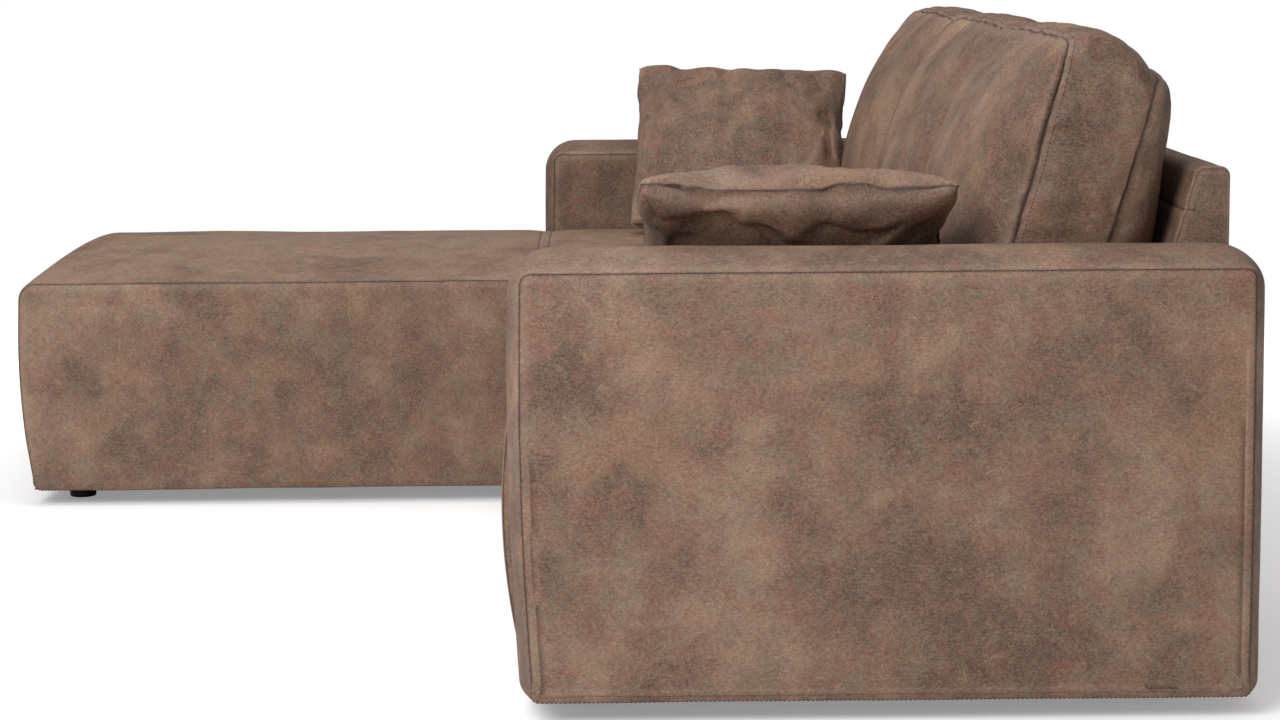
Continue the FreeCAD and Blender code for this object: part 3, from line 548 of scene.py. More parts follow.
def rounded_outline(corners, radii, counts, arc):
    """Closed outline through four rounded corners, and the places of the corners' middles in it.

    It starts at the middle of the first corner. counts are the steps along each straight, or their shares.
    """
    points, places = [], []
    corners = [np.asarray(c, float) for c in corners]
    bends = []
    for i, corner in enumerate(corners):
        before, after = corners[i - 1], corners[(i + 1) % 4]
        r = radii[i]
        start = corner + (before - corner) / np.linalg.norm(before - corner) * r
        end = corner + (after - corner) / np.linalg.norm(after - corner) * r
        bends.append(bend(start, corner, end, 2 * arc))
    for i in range(4):
        places.append(sum(len(p) for p in points))
        points.append(bends[i][arc:-1])
        start, end = bends[i][-1], bends[(i + 1) % 4][0]
        shares = counts[i % len(counts)]
        t = (np.linspace(0, 1, shares + 1)[:-1] if np.isscalar(shares) else shares)[:, None]
        points.append(start + (end - start) * t)
        points.append(bends[(i + 1) % 4][:arc])
    return np.concatenate(points), places


def filled(loop, places):
    """Grid of points inside a closed loop, with the loop's own points round its edge."""
    n = len(loop)
    sides = []
    for i in range(4):
        a, b = places[i], places[(i + 1) % 4]
        index = np.arange(a, b + 1) if b > a else np.concatenate([np.arange(a, n), [b]])
        sides.append(index)
    low, right = loop[sides[0]], loop[sides[1]]
    high, left = loop[sides[2]][::-1], loop[sides[3]][::-1]

    def along(line):
        steps = np.concatenate([[0], np.cumsum(np.linalg.norm(np.diff(line, axis=0), axis=1))])
        return steps / steps[-1]

    u = ((along(low) + along(high)) / 2)[None, :, None]
    v = ((along(left) + along(right)) / 2)[:, None, None]
    grid = ((1 - v) * low[None] + v * high[None] + (1 - u) * left[:, None] + u * right[:, None]
            - (1 - u) * (1 - v) * low[0] - u * (1 - v) * low[-1]
            - (1 - u) * v * high[0] - u * v * high[-1])
    ring = np.full(grid.shape[:2], -1)
    ring[0, :], ring[:, -1] = sides[0], sides[1]
    ring[-1, :], ring[:, 0] = sides[2][::-1], sides[3][::-1]
    return grid, ring


def inward(loop):
    """Unit normals of a closed planar loop that turns anticlockwise, pointing inside."""
    ahead = np.roll(loop, -1, 0) - np.roll(loop, 1, 0)
    n = np.stack([-ahead[:, 1], ahead[:, 0]], 1)
    return n / np.linalg.norm(n, axis=1)[:, None]


def distance_to(points, loop):
    """Distance from each planar point to a closed planar loop."""
    a, b = loop, np.roll(loop, -1, 0)
    d = b - a
    best = np.full(len(points), 1e9)
    for start in range(0, len(points), 2000):
        p = points[start:start + 2000, None]
        t = np.clip(((p - a) * d).sum(-1) / np.maximum((d * d).sum(-1), 1e-12), 0, 1)
        best[start:start + 2000] = np.linalg.norm(p - (a + t[..., None] * d), axis=-1).min(1)
    return best


def seam_mark(distance):
    return np.exp(-(distance / SEAM_WIDTH) ** 2)


def rim_mark(distance):
    return np.exp(-((distance - 0.007) / 0.006) ** 2)


def marked(start, end, marks, counts):
    """Shares of the way from start to end that crowd round seams at some marks. counts are the steps between."""
    near = np.array([-0.0060, -0.0026, -0.0011, 0.0, 0.0011, 0.0026, 0.0060]) * (1 if end > start else -1)
    stops = [start] + [m + side for m in marks for side in (near[0], near[-1])] + [end]
    places = []
    for k, count in enumerate(counts):
        places += list(np.linspace(stops[2 * k], stops[2 * k + 1], count + 1)[:-1])
        if k < len(marks):
            places += list(marks[k] + near[:-1])
    return (np.array(places) - start) / (end - start)


def side_view(size, swell, counts, arc):
    """Side view of an upholstered block at one station, and its corners' places. Anticlockwise from below."""
    front = size["front"] - size["front_swell"] * swell
    rear = size["rear"] + size["rear_swell"] * swell
    low, high = size["low"], size["high"] + size["top_swell"] * swell
    corner = size["corner"] + size["crown_corner"] * swell
    rear_corner = corner if size["rear_swell"] > 0 else 0.012
    if "cross" in size:
        top = marked(rear - rear_corner, front + corner, size["cross"], size["cross_counts"])
        counts = (len(top), counts[1], top, counts[1])
    loop, places = rounded_outline(
        [(front + size["tuck"], low), (rear, low), (rear, high), (front, high)],
        [size["foot"], size["foot"], rear_corner, corner], counts, arc)
    s = np.clip((loop[:, 1] - low) / (high - low), 0, 1)
    ahead = loop[:, 0] < (front + rear) / 2
    loop[:, 0] -= np.where(ahead, size["belly"] * 4 * s * (1 - s), 0)
    return loop, places


def sewn_panel(cover, edge, loop, places, panel, lifted, flip, hidden=0.0):
    """Fills a planar loop with a panel: narrow rings inside its seam and a grid within them.

    edge holds the loop's points in the cover, and lifted turns planar points, with their distance from the
    loop, into points of the panel. hidden is added to the distances where a seam must not show.
    """
    n = inward(loop)
    previous = edge
    for ring in RINGS:
        now = cover.add(lifted(loop + n * ring, ring), seam_mark(ring + hidden), rim_mark(ring + hidden))
        cover.quads(np.stack([previous, now]), panel, closed=True, flip=flip)
        previous = now
    grid, ring = filled(loop + n * RINGS[-1], places)
    flat = grid[1:-1, 1:-1]
    d = distance_to(flat.reshape(-1, 2), loop).reshape(flat.shape[:2])
    core = cover.add(lifted(flat, d), 0.0, rim_mark(d))
    join_grid(cover, core, ring, previous, panel, flip)


def join_grid(cover, core, ring, edge, panel, flip):
    """Joins a grid of points to the ring of points round it."""
    full = np.where(ring >= 0, edge[np.maximum(ring, 0)], 0)
    full[1:-1, 1:-1] = core
    cover.quads(full, panel, flip=flip)


def boxed_cover(size, ends, counts, arc, crown, step=0.011, seams=(), panels=(0.004, 0.004)):
    """A cover of one long strip over the front, top and rear, sewn to a panel at each end.

    crown gives the swell at a share of the width. seams are the x of sewn valleys across the strip.
    Returns the cover and its two end loops.
    """
    cover = Cover()
    x0, x1 = ends
    marks = [x0, *seams, x1]
    xs = [x0]
    for a, b in zip(marks[:-1], marks[1:]):
        xs += list(a + seam_spacing(b - a, step)[1:])
    xs = np.array(xs)
    gap = np.abs(xs[:, None] - np.array([x0, x1])[None]).min(1)
    valley = np.abs(xs[:, None] - np.array(seams)[None]).min(1) if len(seams) else np.full(len(xs), 1.0)
    rows = []
    for x, near, sewn in zip(xs, gap, valley):
        loop, places = side_view(size, crown(x), counts, arc)
        n = inward(loop)
        sink = 0.0030 * np.exp(-near / 0.0045) + 0.0042 * np.exp(-sewn / 0.006)
        below = 1 - ease(loop[:, 1], size["low"] + 0.004, size["low"] + 0.03)
        loop = loop + n * (sink * (1 - below))[:, None]
        rows.append(np.column_stack([np.full(len(loop), x), loop]))
    rows = np.array(rows)
    below = 1 - ease(rows[..., 2], size["low"] + 0.006, size["low"] + 0.030)
    d = np.minimum(gap, valley)[:, None] + below * 0.1
    ids = cover.add(rows, seam_mark(d), rim_mark(d))
    strip = np.searchsorted(np.array(list(seams) + [x1 + 1]), (xs[:-1] + xs[1:]) / 2)
    for part in range(len(seams) + 1):
        chosen = np.flatnonzero(strip == part)
        cover.quads(ids[chosen[0]:chosen[-1] + 2], 2 + part, closed=True, flip=True)
    for side, row, outward, puff in ((0, 0, -1, panels[0]), (1, -1, 1, panels[1])):
        def swollen(q, distance):
            lift = 0.0030 * (1 - np.exp(-distance / 0.005)) + puff * (1 - np.exp(-distance / 0.045))
            x = np.broadcast_to(ends[side] + outward * lift, q.shape[:-1])
            return np.concatenate([x[..., None], q], -1)

        sewn_panel(cover, ids[row], rows[row][:, 1:], places, side, swollen, outward > 0, below[row] * 0.1)
    return cover, ids[0], ids[-1]


def soften(points, faces, broad, fine, seed, share):
    """Moves points a little along their normals, each by its share, as padding does under a cover."""
    move = (broad * drift(points, 0.23, seed) + fine * drift(points, 0.07, seed + 7)) * share
    return points + normals_of(points, faces) * move[:, None]


def closed_volume(points, faces):
    """Volume inside a closed mesh: negative where its faces point inwards."""
    a, b, c, d = (points[faces[:, k]] for k in range(4))
    return (np.einsum("ij,ij->i", a, np.cross(b, c)) + np.einsum("ij,ij->i", a, np.cross(c, d))).sum() / 6


def raised_line(points, faces, chosen, closed, lift=0.0003):
    """A row of points, lifted a little off the cover, and whether it closes."""
    return points[chosen] + normals_of(points, faces)[chosen] * lift, closed


def runs(points, faces, loop, kept):
    """The stretches of a closed loop whose points are kept."""
    line, _ = raised_line(points, faces, loop, True)
    keep = kept(line)
    if keep.all():
        return [(line, True)]
    start = int(np.flatnonzero(~keep)[0])
    line, keep = np.roll(line, -start, 0), np.roll(keep, -start)
    found, now = [], []
    for point, good in zip(line, keep):
        if good:
            now.append(point)
        elif now:
            found.append((np.array(now), False))
            now = []
    if now:
        found.append((np.array(now), False))
    return [run for run in found if len(run[0]) > 2]


class Rule:
    """A Geometry Nodes tree with named inputs, run once and turned into a plain mesh."""

    def __init__(self, name, inputs):
        self.tree = bpy.data.node_groups.new(name, "GeometryNodeTree")
        face = self.tree.interface
        face.new_socket("Geometry", in_out="INPUT", socket_type="NodeSocketGeometry")
        self.keys = {label: face.new_socket(label, in_out="INPUT", socket_type=kind).identifier
                     for label, kind in inputs}
        face.new_socket("Geometry", in_out="OUTPUT", socket_type="NodeSocketGeometry")
        self.start = self.tree.nodes.new("NodeGroupInput")
        self.end = self.tree.nodes.new("NodeGroupOutput")

    def given(self, label):
        return self.start.outputs[label]

    def node(self, kind, settings=None, sockets=None):
        made = self.tree.nodes.new(kind)
        for key, value in (settings or {}).items():
            setattr(made, key, value)
        for key, value in (sockets or {}).items():
            if isinstance(value, bpy.types.NodeSocket):
                self.tree.links.new(value, made.inputs[key])
            else:
                made.inputs[key].default_value = value
        return made

    def close(self, geometry):
        """Ends the tree: real geometry with its material."""
        real = self.node("GeometryNodeRealizeInstances", sockets={"Geometry": geometry})
        smooth = self.node("GeometryNodeSetShadeSmooth", sockets={"Geometry": real.outputs[0]})
        painted = self.node("GeometryNodeSetMaterial", sockets={"Geometry": smooth.outputs[0],
                                                                "Material": self.given("Material")})
        self.tree.links.new(painted.outputs[0], self.end.inputs[0])

    def run(self, name, points, edges, values, attributes=None):
        """Runs the tree over a line drawing and gives back a plain object."""
        mesh = bpy.data.meshes.new(name)
        mesh.from_pydata(points.tolist(), edges, [])
        for label, vectors in (attributes or {}).items():
            made = mesh.attributes.new(label, "FLOAT_VECTOR", "POINT")
            made.data.foreach_set("vector", np.asarray(vectors, np.float32).ravel())
        obj = bpy.data.objects.new(name, mesh)
        bpy.context.scene.collection.objects.link(obj)
        modifier = obj.modifiers.new("rule", "NODES")
        modifier.node_group = self.tree
        for label, value in values.items():
            modifier[self.keys[label]] = value
        result = made_plain(obj)
        obj.modifiers.clear()
        obj.data = result
        result.name = name
        bpy.data.meshes.remove(mesh)
        return obj


def rods_rule(name, long, thick, askew=0.0):
    """Rods one after another along each line, each turned by chance where askew is given."""
    seed = (("Seed", "NodeSocketInt"),) if askew else ()
    rule = Rule(name, (("Pitch", "NodeSocketFloat"), (long, "NodeSocketFloat"), (thick, "NodeSocketFloat"),
                       *seed, ("Material", "NodeSocketMaterial")))
    curve = rule.node("GeometryNodeMeshToCurve", sockets={0: rule.given("Geometry")})
    spaced = rule.node("GeometryNodeResampleCurve", {"mode": "LENGTH"},
                       {"Curve": curve.outputs[0], "Length": rule.given("Pitch")})
    rod = rule.node("GeometryNodeMeshUVSphere", sockets={"Segments": 6, "Rings": 4, "Radius": 0.5})
    size = rule.node("ShaderNodeCombineXYZ", sockets={0: rule.given(thick), 1: rule.given(thick),
                                                      2: rule.given(long)})
    along = rule.node("GeometryNodeInputTangent")
    turned = rule.node("FunctionNodeAlignRotationToVector", {"axis": "Z"}, {"Vector": along.outputs[0]})
    if askew:
        angle = rule.node("FunctionNodeRandomValue", {"data_type": "FLOAT"},
                          {"Min": -askew, "Max": askew, "Seed": rule.given("Seed")})
        spin = rule.node("FunctionNodeAxisAngleToRotation",
                         sockets={"Axis": (0.0, 0.0, 1.0), "Angle": angle.outputs[1]})
        turned = rule.node("FunctionNodeRotateRotation", {"rotation_space": "GLOBAL"},
                           {"Rotation": turned.outputs[0], "Rotate By": spin.outputs[0]})
    placed = rule.node("GeometryNodeInstanceOnPoints", sockets={
        "Points": spaced.outputs[0], "Instance": rod.outputs[0], "Rotation": turned.outputs[0],
        "Scale": size.outputs[0]})
    rule.close(placed.outputs[0])
    return rule


RULES = {}


def rods_named(name, *inputs):
    """The rule with this name, made the first time that it is asked for."""
    if name not in RULES:
        RULES[name] = rods_rule(name, *inputs)
    return RULES[name]


def stitches(name, lines, body, seams):
    """Sews a row of stitches along each line and parents it to a body."""
    points, edges, count = [], [], 0
    for line, closed in lines:
        n = len(line)
        points.append(line)
        edges += [(count + i, count + i + 1) for i in range(n - 1)] + ([(count + n - 1, count)] if closed else [])
        count += n
    obj = rods_named("row_of_stitches", "Stitch", "Thread").run(name, np.concatenate(points), edges, {
        "Pitch": seams.pitch, "Stitch": seams.stitch, "Thread": seams.thread,
        "Material": bpy.data.materials["sewing_thread"]})
    finished(obj, body, "leather_cover")
    return obj


def mirrored(points, faces):
    return points * np.array([-1, 1, 1]), faces[:, ::-1]


def arm_size(p):
    return dict(front=p.rear - p.arm_depth, rear=p.rear, low=p.floor_gap, high=p.arm_height,
                front_swell=0.017, rear_swell=0.026, top_swell=0.020, corner=0.016, crown_corner=0.044,
                belly=0.008, tuck=0.010, foot=0.010)


def places_of(p):
    """How far the arms' inner and outer panels stand from the middle."""
    inner = 1.5 * p.module
    outer = inner + p.arm_width
    return inner, outer


def back_size(p):
    """Depths of a backrest's side view: its rear, its top's front edge and its knee at the seat."""
    rear = p.rear + BACK_OVERHANG
    top_front = rear - BACK_TOP_DEPTH
    knee = top_front - math.tan(BACK_LEAN) * (p.back_height - p.seam_height)
    return rear, top_front, knee


def seat_rear(p):
    return back_size(p)[2] - UNIT_GAP


class SOFA_OT_arms(bpy.types.Operator):
    """Makes the covers of the two arms"""

    bl_idname = "sofa.arms"
    bl_label = "Arms"

    def execute(self, context):
        p = context.scene.sofa_sizes
        finishes()
        inner, outer = places_of(p)
        middle, half = (inner + outer) / 2, (outer - inner) / 2

        cover, first, last = boxed_cover(arm_size(p), (inner + 0.0005, outer), (84, 50), 7,
                                         arched(middle, half), step=0.010, panels=(0.0, 0.0045))
        rest, faces, panels, seams, rims = cover.arrays()
        inside = ease(rest[:, 0], inner + 0.002, inner + 0.03)
        points = soften(rest, faces, 0.0016, 0.0005, 11, inside)
        for side, seed in (("right", 5), ("left", 17)):
            q, f = (points, faces) if side == "right" else mirrored(points, faces)
            r = rest if side == "right" else rest * np.array([-1, 1, 1])
            obj = mesh_object(side + "_arm_upholstery", q, f, HIDE)
            # painted shade: the left arm and both arms' tops are painted darker
            shade = PAINTED_LIGHT_LEVELS[side + "_arm"] + PAINTED_LIGHT_LEVELS["arm_top"] * (r[:, 2] > p.arm_height + 0.001)
            dress(obj, r, panels, seams, rims, seed, shade)
            finished(obj, "root", "leather_cover", side + "_arm_cover", side + "_arm_padding")
            lines = [raised_line(q, f, loop, True) for loop in (first, last)]
            stitches(side + "_arm_stitches", lines, "root", context.scene.sofa_seams)
        return {"FINISHED"}


class SOFA_OT_seat(bpy.types.Operator):
    """Makes the cover of the two-seat unit"""

    bl_idname = "sofa.seat"
    bl_label = "Seat unit"

    def execute(self, context):
        p = context.scene.sofa_sizes
        finishes()
        inner, _ = places_of(p)
        left, right = p.module - inner + UNIT_GAP, inner - UNIT_GAP
        middle, half = (left + right) / 2, (right - left) / 4
        dip = 0.012 / 0.034

        def crown(x):
            s = abs(abs(x - middle) / half - 1)
            rise = dip * (1 - min(abs(x - middle) / (2 * half), 1))
            return rise + (1 - s * s) * (1 - rise)

        size = dict(front=p.rear - p.arm_depth - p.seat_setback, rear=seat_rear(p), low=p.floor_gap,
                    high=p.seam_height, front_swell=0.0, rear_swell=0.0, top_swell=0.034, corner=0.024,
                    crown_corner=0.020, belly=0.022, tuck=0.010, foot=0.010)
        cover, first, last = boxed_cover(size, (left, right), (80, 40), 6, crown, step=0.013, seams=(middle,),
                                         panels=(-0.003, -0.003))
        rest, faces, panels, seams, rims = cover.arrays()
        inside = inside_span(rest[:, 0], left, right, 0.002, 0.04)
        points = soften(rest, faces, 0.0022, 0.0006, 23, inside)
        obj = mesh_object("seat_upholstery", points, faces, HIDE)
        dress(obj, rest, panels, seams, rims, 29)
        finished(obj, "root", "leather_cover", "seat_cover", "seat_foam")
        lines = [raised_line(points, faces, loop, True) for loop in (first, last)]
        stitches("seat_stitches", lines, "root", context.scene.sofa_seams)
        return {"FINISHED"}


class SOFA_OT_chaise(bpy.types.Operator):
    """Makes the cover of the chaise unit, cut out beside the left arm"""

    bl_idname = "sofa.chaise"
    bl_label = "Chaise unit"

    def execute(self, context):
        p = context.scene.sofa_sizes
        finishes()
        inner, outer = places_of(p)
        left, right = -outer, p.module - inner - UNIT_GAP
        middle, half = (left + right) / 2, (right - left) / 2

        size = dict(front=p.rear - p.chaise_reach, rear=seat_rear(p), low=p.floor_gap, high=p.seam_height,
                    front_swell=0.012, rear_swell=0.0, top_swell=0.038, corner=0.030, crown_corner=0.070,
                    belly=0.014, tuck=0.016, foot=0.015)
        front = p.rear - p.arm_depth
        size["cross"], size["cross_counts"] = (front - 0.003, front - 0.023), (68, 2, 74)
        cover, first, last = boxed_cover(size, (left, right), (170, 38), 8, arched(middle, half), step=0.013,
                                         panels=(0.004, 0.003))
        rest, faces, panels, seams, rims = cover.arrays()
        near = ease(rest[:, 0], left + 0.002, left + 0.03)
        points = soften(rest, faces, 0.0022, 0.0007, 31, near * 0.8 + 0.2)
        # two seams across the top, in line with the arms' fronts, and the shallow valley round them
        top = ease(rest[:, 2], p.seam_height - 0.03, p.seam_height + 0.002) 
        inside = inside_span(rest[:, 0], left, right, 0.001, 0.02)
        across = np.abs(rest[:, 1] - (front - 0.013))
        points[:, 2] -= top * inside * 0.0030 * np.exp(-(across / 0.028) ** 2)
        for y in size["cross"]:
            d = np.abs(rest[:, 1] - y)
            points[:, 2] -= top * 0.0016 * np.exp(-d / 0.0022)
            seams = np.maximum(seams, top * seam_mark(d * 1.5) * 0.9)
        cut_y = front - 0.017 - 0.005 - 0.001
        lines = []
        for loop in (first, last):
            lines += runs(points, faces, loop, lambda q: (q[:, 0] > -inner) | (q[:, 1] < cut_y - 0.002))
        for y in size["cross"]:
            chosen = np.flatnonzero((np.abs(rest[:, 1] - y) < 1e-4) & (rest[:, 2] > p.seam_height - 0.01)
                                    & (rest[:, 0] > -inner + 0.003))
            chosen = chosen[np.argsort(rest[chosen, 0])]
            if len(chosen) > 2:
                lines.append(raised_line(points, faces, chosen, False))
        obj = mesh_object("chaise_upholstery", points, faces, HIDE)
        # painted light on the chaise's top and painted shade on its sides
        shade = np.where(rest[:, 2] > p.seam_height + 0.001, PAINTED_LIGHT_LEVELS["chaise_top"], PAINTED_LIGHT_LEVELS["chaise_side"])
        dress(obj, rest, panels, seams, rims, 37, shade)
        notch = cut_box((-2.0, -inner + 0.001), (cut_y, 2.0), (-0.5, 1.5))
        carve(obj, notch)
        finished(obj, "root", "leather_cover", "chaise_cover", "chaise_foam")
        stitches("chaise_stitches", lines, "root", context.scene.sofa_seams)
        return {"FINISHED"}


def cut_box(xs, ys, zs):
    corners = np.array([(x, y, z) for x in xs for y in ys for z in zs])
    faces = np.array([(0, 1, 3, 2), (4, 6, 7, 5), (0, 4, 5, 1), (2, 3, 7, 6), (0, 2, 6, 4), (1, 5, 7, 3)])
    cutter = mesh_object("cutter", corners, faces, HIDE, smooth=False)
    dress(cutter, corners, np.zeros(6, int), np.zeros(8), np.zeros(8), 1)
    return cutter


def carve(obj, cutter):
    """Takes the cutter's space out of an object, and removes the cutter."""
    modifier = obj.modifiers.new("carve", "BOOLEAN")
    modifier.operation, modifier.object, modifier.solver = "DIFFERENCE", cutter, "FAST"
    result = made_plain(obj)
    obj.modifiers.clear()
    old = obj.data
    obj.data = result
    result.name = obj.name
    bpy.data.meshes.remove(old)
    bpy.data.objects.remove(cutter)


class SOFA_OT_backrests(bpy.types.Operator):
    """Makes the covers of the two backrests, with their piped ends"""

    bl_idname = "sofa.backrests"
    bl_label = "Backrests"

    def execute(self, context):
        p = context.scene.sofa_sizes
        finishes()
        inner, _ = places_of(p)
        split = p.module - inner
        spans = {"chaise": (-inner + UNIT_GAP, split - HALF_GAP), "seat": (split + HALF_GAP, inner - UNIT_GAP)}
        rear, top_front, knee = back_size(p)
        low, high, bottom = p.seam_height, p.back_height, p.floor_gap
        for name, (x0, x1) in spans.items():
            corners = [(knee, bottom), (rear, bottom), (rear, high), (top_front, high)]
            front_run = marked(high - 0.012, bottom + 0.008, (high - 0.060,), (6, 52))
            loop, places = rounded_outline(corners, [0.008, 0.008, 0.014, 0.012],
                                           (16, len(front_run), 16, front_run), 6)
            lean = (top_front - knee) / (high - low)
            ahead = loop[:, 0] < rear - 0.02
            straight = knee + np.maximum(loop[:, 1] - low, 0) * lean
            chord = knee + (top_front - knee) * (loop[:, 1] - bottom) / (high - bottom)
            loop[:, 0] += np.where(ahead & (loop[:, 1] < high - 0.004), straight - chord, 0) * ahead
            cover = Cover()
            xs = x0 + seam_spacing(x1 - x0, 0.016)
            gap = np.minimum(xs - x0, x1 - xs)
            n = inward(loop)
            rows = np.array([np.column_stack([np.full(len(loop), x), loop + n * 0.0022 * np.exp(-g / 0.004)])
                             for x, g in zip(xs, gap)])
            ids = cover.add(rows, seam_mark(gap)[:, None], rim_mark(gap)[:, None])
            cover.quads(ids, 2, closed=True, flip=True)
            for side, row, outward in ((0, 0, -1), (1, -1, 1)):
                edge = rows[row][:, 1:]
                m = inward(edge)
                previous = ids[row]
                for ring in RINGS[:4]:
                    x = np.full(len(edge), (x0, x1)[side] + outward * 0.0008 * (1 - math.exp(-ring / 0.004)))
                    now = cover.add(np.column_stack([x, edge + m * ring]), seam_mark(ring), rim_mark(ring))
                    cover.quads(np.stack([previous, now]), side, closed=True, flip=outward > 0)
                    previous = now
                grid, ring = filled(edge + m * RINGS[3], places)
                flat = grid[1:-1, 1:-1]
                x = np.full(flat.shape[:2] + (1,), (x0, x1)[side] + outward * 0.0008)
                core = cover.add(np.concatenate([x, flat], -1))
                join_grid(cover, core, ring, previous, side, outward > 0)
            rest, faces, panels, seams, rims = cover.arrays()
            still = inside_span(rest[:, 0], x0, x1, 0.0, 0.03)
            points = soften(rest, faces, 0.0010, 0.0004, 41, still)
            d = np.abs(rest[:, 2] - (high - 0.060)) + (rest[:, 1] > top_front - 0.004)
            points[:, 1] += 0.0022 * np.exp(-d / 0.004)
            seams = np.maximum(seams, seam_mark(d * 1.2))
            rims = np.maximum(rims, rim_mark(d))
            obj = mesh_object(name + "_backrest_upholstery", points, faces, HIDE)
            dress(obj, rest, panels, seams, rims, 43 + len(name))
            finished(obj, "root", "leather_cover", name + "_backrest_cover", name + "_backrest_padding")
            end = ids[0] if name == "chaise" else ids[-1]
            self.pipe(name + "_backrest_piping", raised_line(points, faces, end, True)[0],
                      context.scene.sofa_seams.piping / 2, 0.0016 * (-1 if name == "chaise" else 1))
        return {"FINISHED"}

    def pipe(self, name, line, radius, shift):
        """A round cord of leatherette sewn into the seam round a backrest's outer end."""
        ahead = np.roll(line, -1, 0) - np.roll(line, 1, 0)
        ahead /= np.linalg.norm(ahead, axis=1)[:, None]
        out = np.cross(ahead, [1.0, 0, 0])
        turn = np.linspace(0, 2 * math.pi, 9)[:-1]
        centre = line - [shift, 0, 0]
        rings = [centre + radius * (math.cos(a) * np.array([1.0, 0, 0]) + math.sin(a) * out) for a in turn]
        cover = Cover()
        loops = np.array(rings)
        ids = cover.add(loops, 0.0, 1.0)
        closed = np.concatenate([ids, ids[:1]])
        cover.quads(closed, 0, closed=True)
        points, faces, panels, seams, rims = cover.arrays()
        if closed_volume(points, faces) < 0:
            faces = faces[:, ::-1]
        obj = mesh_object(name, points, faces, HIDE)
        dress(obj, points, panels, seams, rims, 77)
        finished(obj, "root", "leather_cover")


# Loose cushions

def settle(points, faces, held, frames, pressure, shrink, bending):
    """Lets a sewn cover swell and crease as cloth, and gives back its points."""
    obj = mesh_object("settling", points, faces, HIDE)
    group = obj.vertex_groups.new(name="held")
    for weight in np.unique(held[held > 0]):
        group.add(np.flatnonzero(held == weight).tolist(), float(weight), "REPLACE")
    modifier = obj.modifiers.new("cloth", "CLOTH")
    cloth = modifier.settings
    cloth.quality = 6
    cloth.mass = 0.35
    cloth.tension_stiffness = cloth.compression_stiffness = 22.0
    cloth.shear_stiffness = 8.0
    cloth.bending_stiffness = bending
    cloth.use_pressure = True
    cloth.uniform_pressure_force = pressure
    cloth.shrink_min = shrink
    cloth.vertex_group_mass = "held"
    cloth.pin_stiffness = 1.0
    cloth.effector_weights.gravity = 0.0
    modifier.collision_settings.use_collision = False
    modifier.point_cache.frame_end = frames + 1
    scene = bpy.context.scene
    for step in range(1, frames + 1):
        scene.frame_set(step)
    shaped = obj.evaluated_get(bpy.context.evaluated_depsgraph_get()).data
    result = np.empty(len(points) * 3)
    shaped.vertices.foreach_get("co", result)
    scene.frame_set(1)
    bpy.data.objects.remove(obj)
    return result.reshape(-1, 3)


def back_cushion(p, c, left):
    """A back cushion's cover: a front panel, a gusset round it and a rear panel, with its seam loops."""
    x0, x1 = left + 0.007, left + p.module - 0.007
    middle, half = (x0 + x1) / 2, (x1 - x0) / 2
    base = p.seam_height + 0.041
    _, top_front, knee = back_size(p)
    face = top_front - (top_front - knee) / (p.back_height - p.seam_height) * (p.back_height - base)
    rear_low = face - 0.005
    slope = math.tan(c.lean)
    top = base + c.height

    def fullness(x):
        return 1 - np.clip(np.abs((x - middle) / half), 0, 1) ** 2.6

    counts, arc = (60, 36), 5
    flat = [(x0, 0.0), (x1, 0.0), (x1, 1.0), (x0, 1.0)]
    front, places = rounded_outline([(x, v * c.height) for x, v in flat], [0.026] * 4, counts, arc)
    back, _ = rounded_outline([(x, v * (c.height - 0.060)) for x, v in flat], [0.030] * 4, counts, arc)

    def front_point(q):
        x, h = q[..., 0], q[..., 1]
        full = fullness(x)
        low = 1 - h / c.height
        y = rear_low - c.depth + slope * h - 0.035 * full * low
        z = base + h - 0.007 * (1 - full) * (h / c.height)
        return np.stack([x, y, z], -1)

    def tucked(v):
        return 0.040 - 0.022 * v

    def rear_point(q):
        x, h = q[..., 0], q[..., 1]
        full = fullness(x)
        v = h / (c.height - 0.060)
        y = rear_low - 0.044 * (1 - full) * (1 - v) + (0.064 - 0.022 * (1 - full)) * v - tucked(v)
        z = base + v * (c.height - 0.048 - 0.022 * (1 - full))
        return np.stack([x, y, z], -1)

    cover = Cover()
    f_loop, r_loop = front_point(front), rear_point(back)
    depth = np.linalg.norm(f_loop - r_loop, axis=1).mean()
    ts = seam_spacing(depth, 0.011) / depth
    side = np.abs(inward(front)[:, 0])
    over = np.clip(-inward(front)[:, 1], 0, 1)
    out = np.column_stack([-inward(front)[:, 0], np.zeros(len(front)), -inward(front)[:, 1]])
    rows = []
    for t in ts:
        swell = (0.006 * side + 0.026 * over) * 4 * t * (1 - t)
        d = min(t, 1 - t) * depth
        sink = -0.0022 * np.exp(-d / 0.004)
        rows.append(f_loop * (1 - t) + r_loop * t + out * (swell + sink)[:, None])
    rows = np.array(rows)
    away = np.minimum(ts, 1 - ts) * depth
    ids = cover.add(rows, seam_mark(away)[:, None], rim_mark(away)[:, None])
    cover.quads(ids, 2, closed=True)
    for panel, row, loop, place, lift, outward in (
            (0, 0, front, front_point, c.swell + 0.006, -1), (1, -1, back, rear_point, 0.020, 1)):
        direction = np.array([0, -math.cos(c.lean), math.sin(c.lean)]) if outward < 0 else np.array([0, 1.0, 0])

        def raised(q, distance):
            h = q[..., 1] / loop[:, 1].max()
            full = fullness(q[..., 0])
            bow = 4 * h * (1 - h)
            rim = 0.0035 * (1 - np.exp(-distance / 0.006)) + 0.006 * (1 - np.exp(-distance / 0.03))
            amount = rim + lift * full ** 0.8 * np.clip(bow, 0, 1) ** 0.8
            if outward > 0:
                amount = amount + tucked(h) * np.sqrt(1 - np.exp(-np.asarray(distance) / 0.018))
            return place(q) + direction * np.asarray(amount)[..., None]

        sewn_panel(cover, ids[row], loop, places, panel, raised, outward < 0)
    beside = int(np.argmin(np.abs(ts * depth - 0.009)))
    return cover, (ids[0], ids[beside], ids[-1]), (x0, x1, base, top)


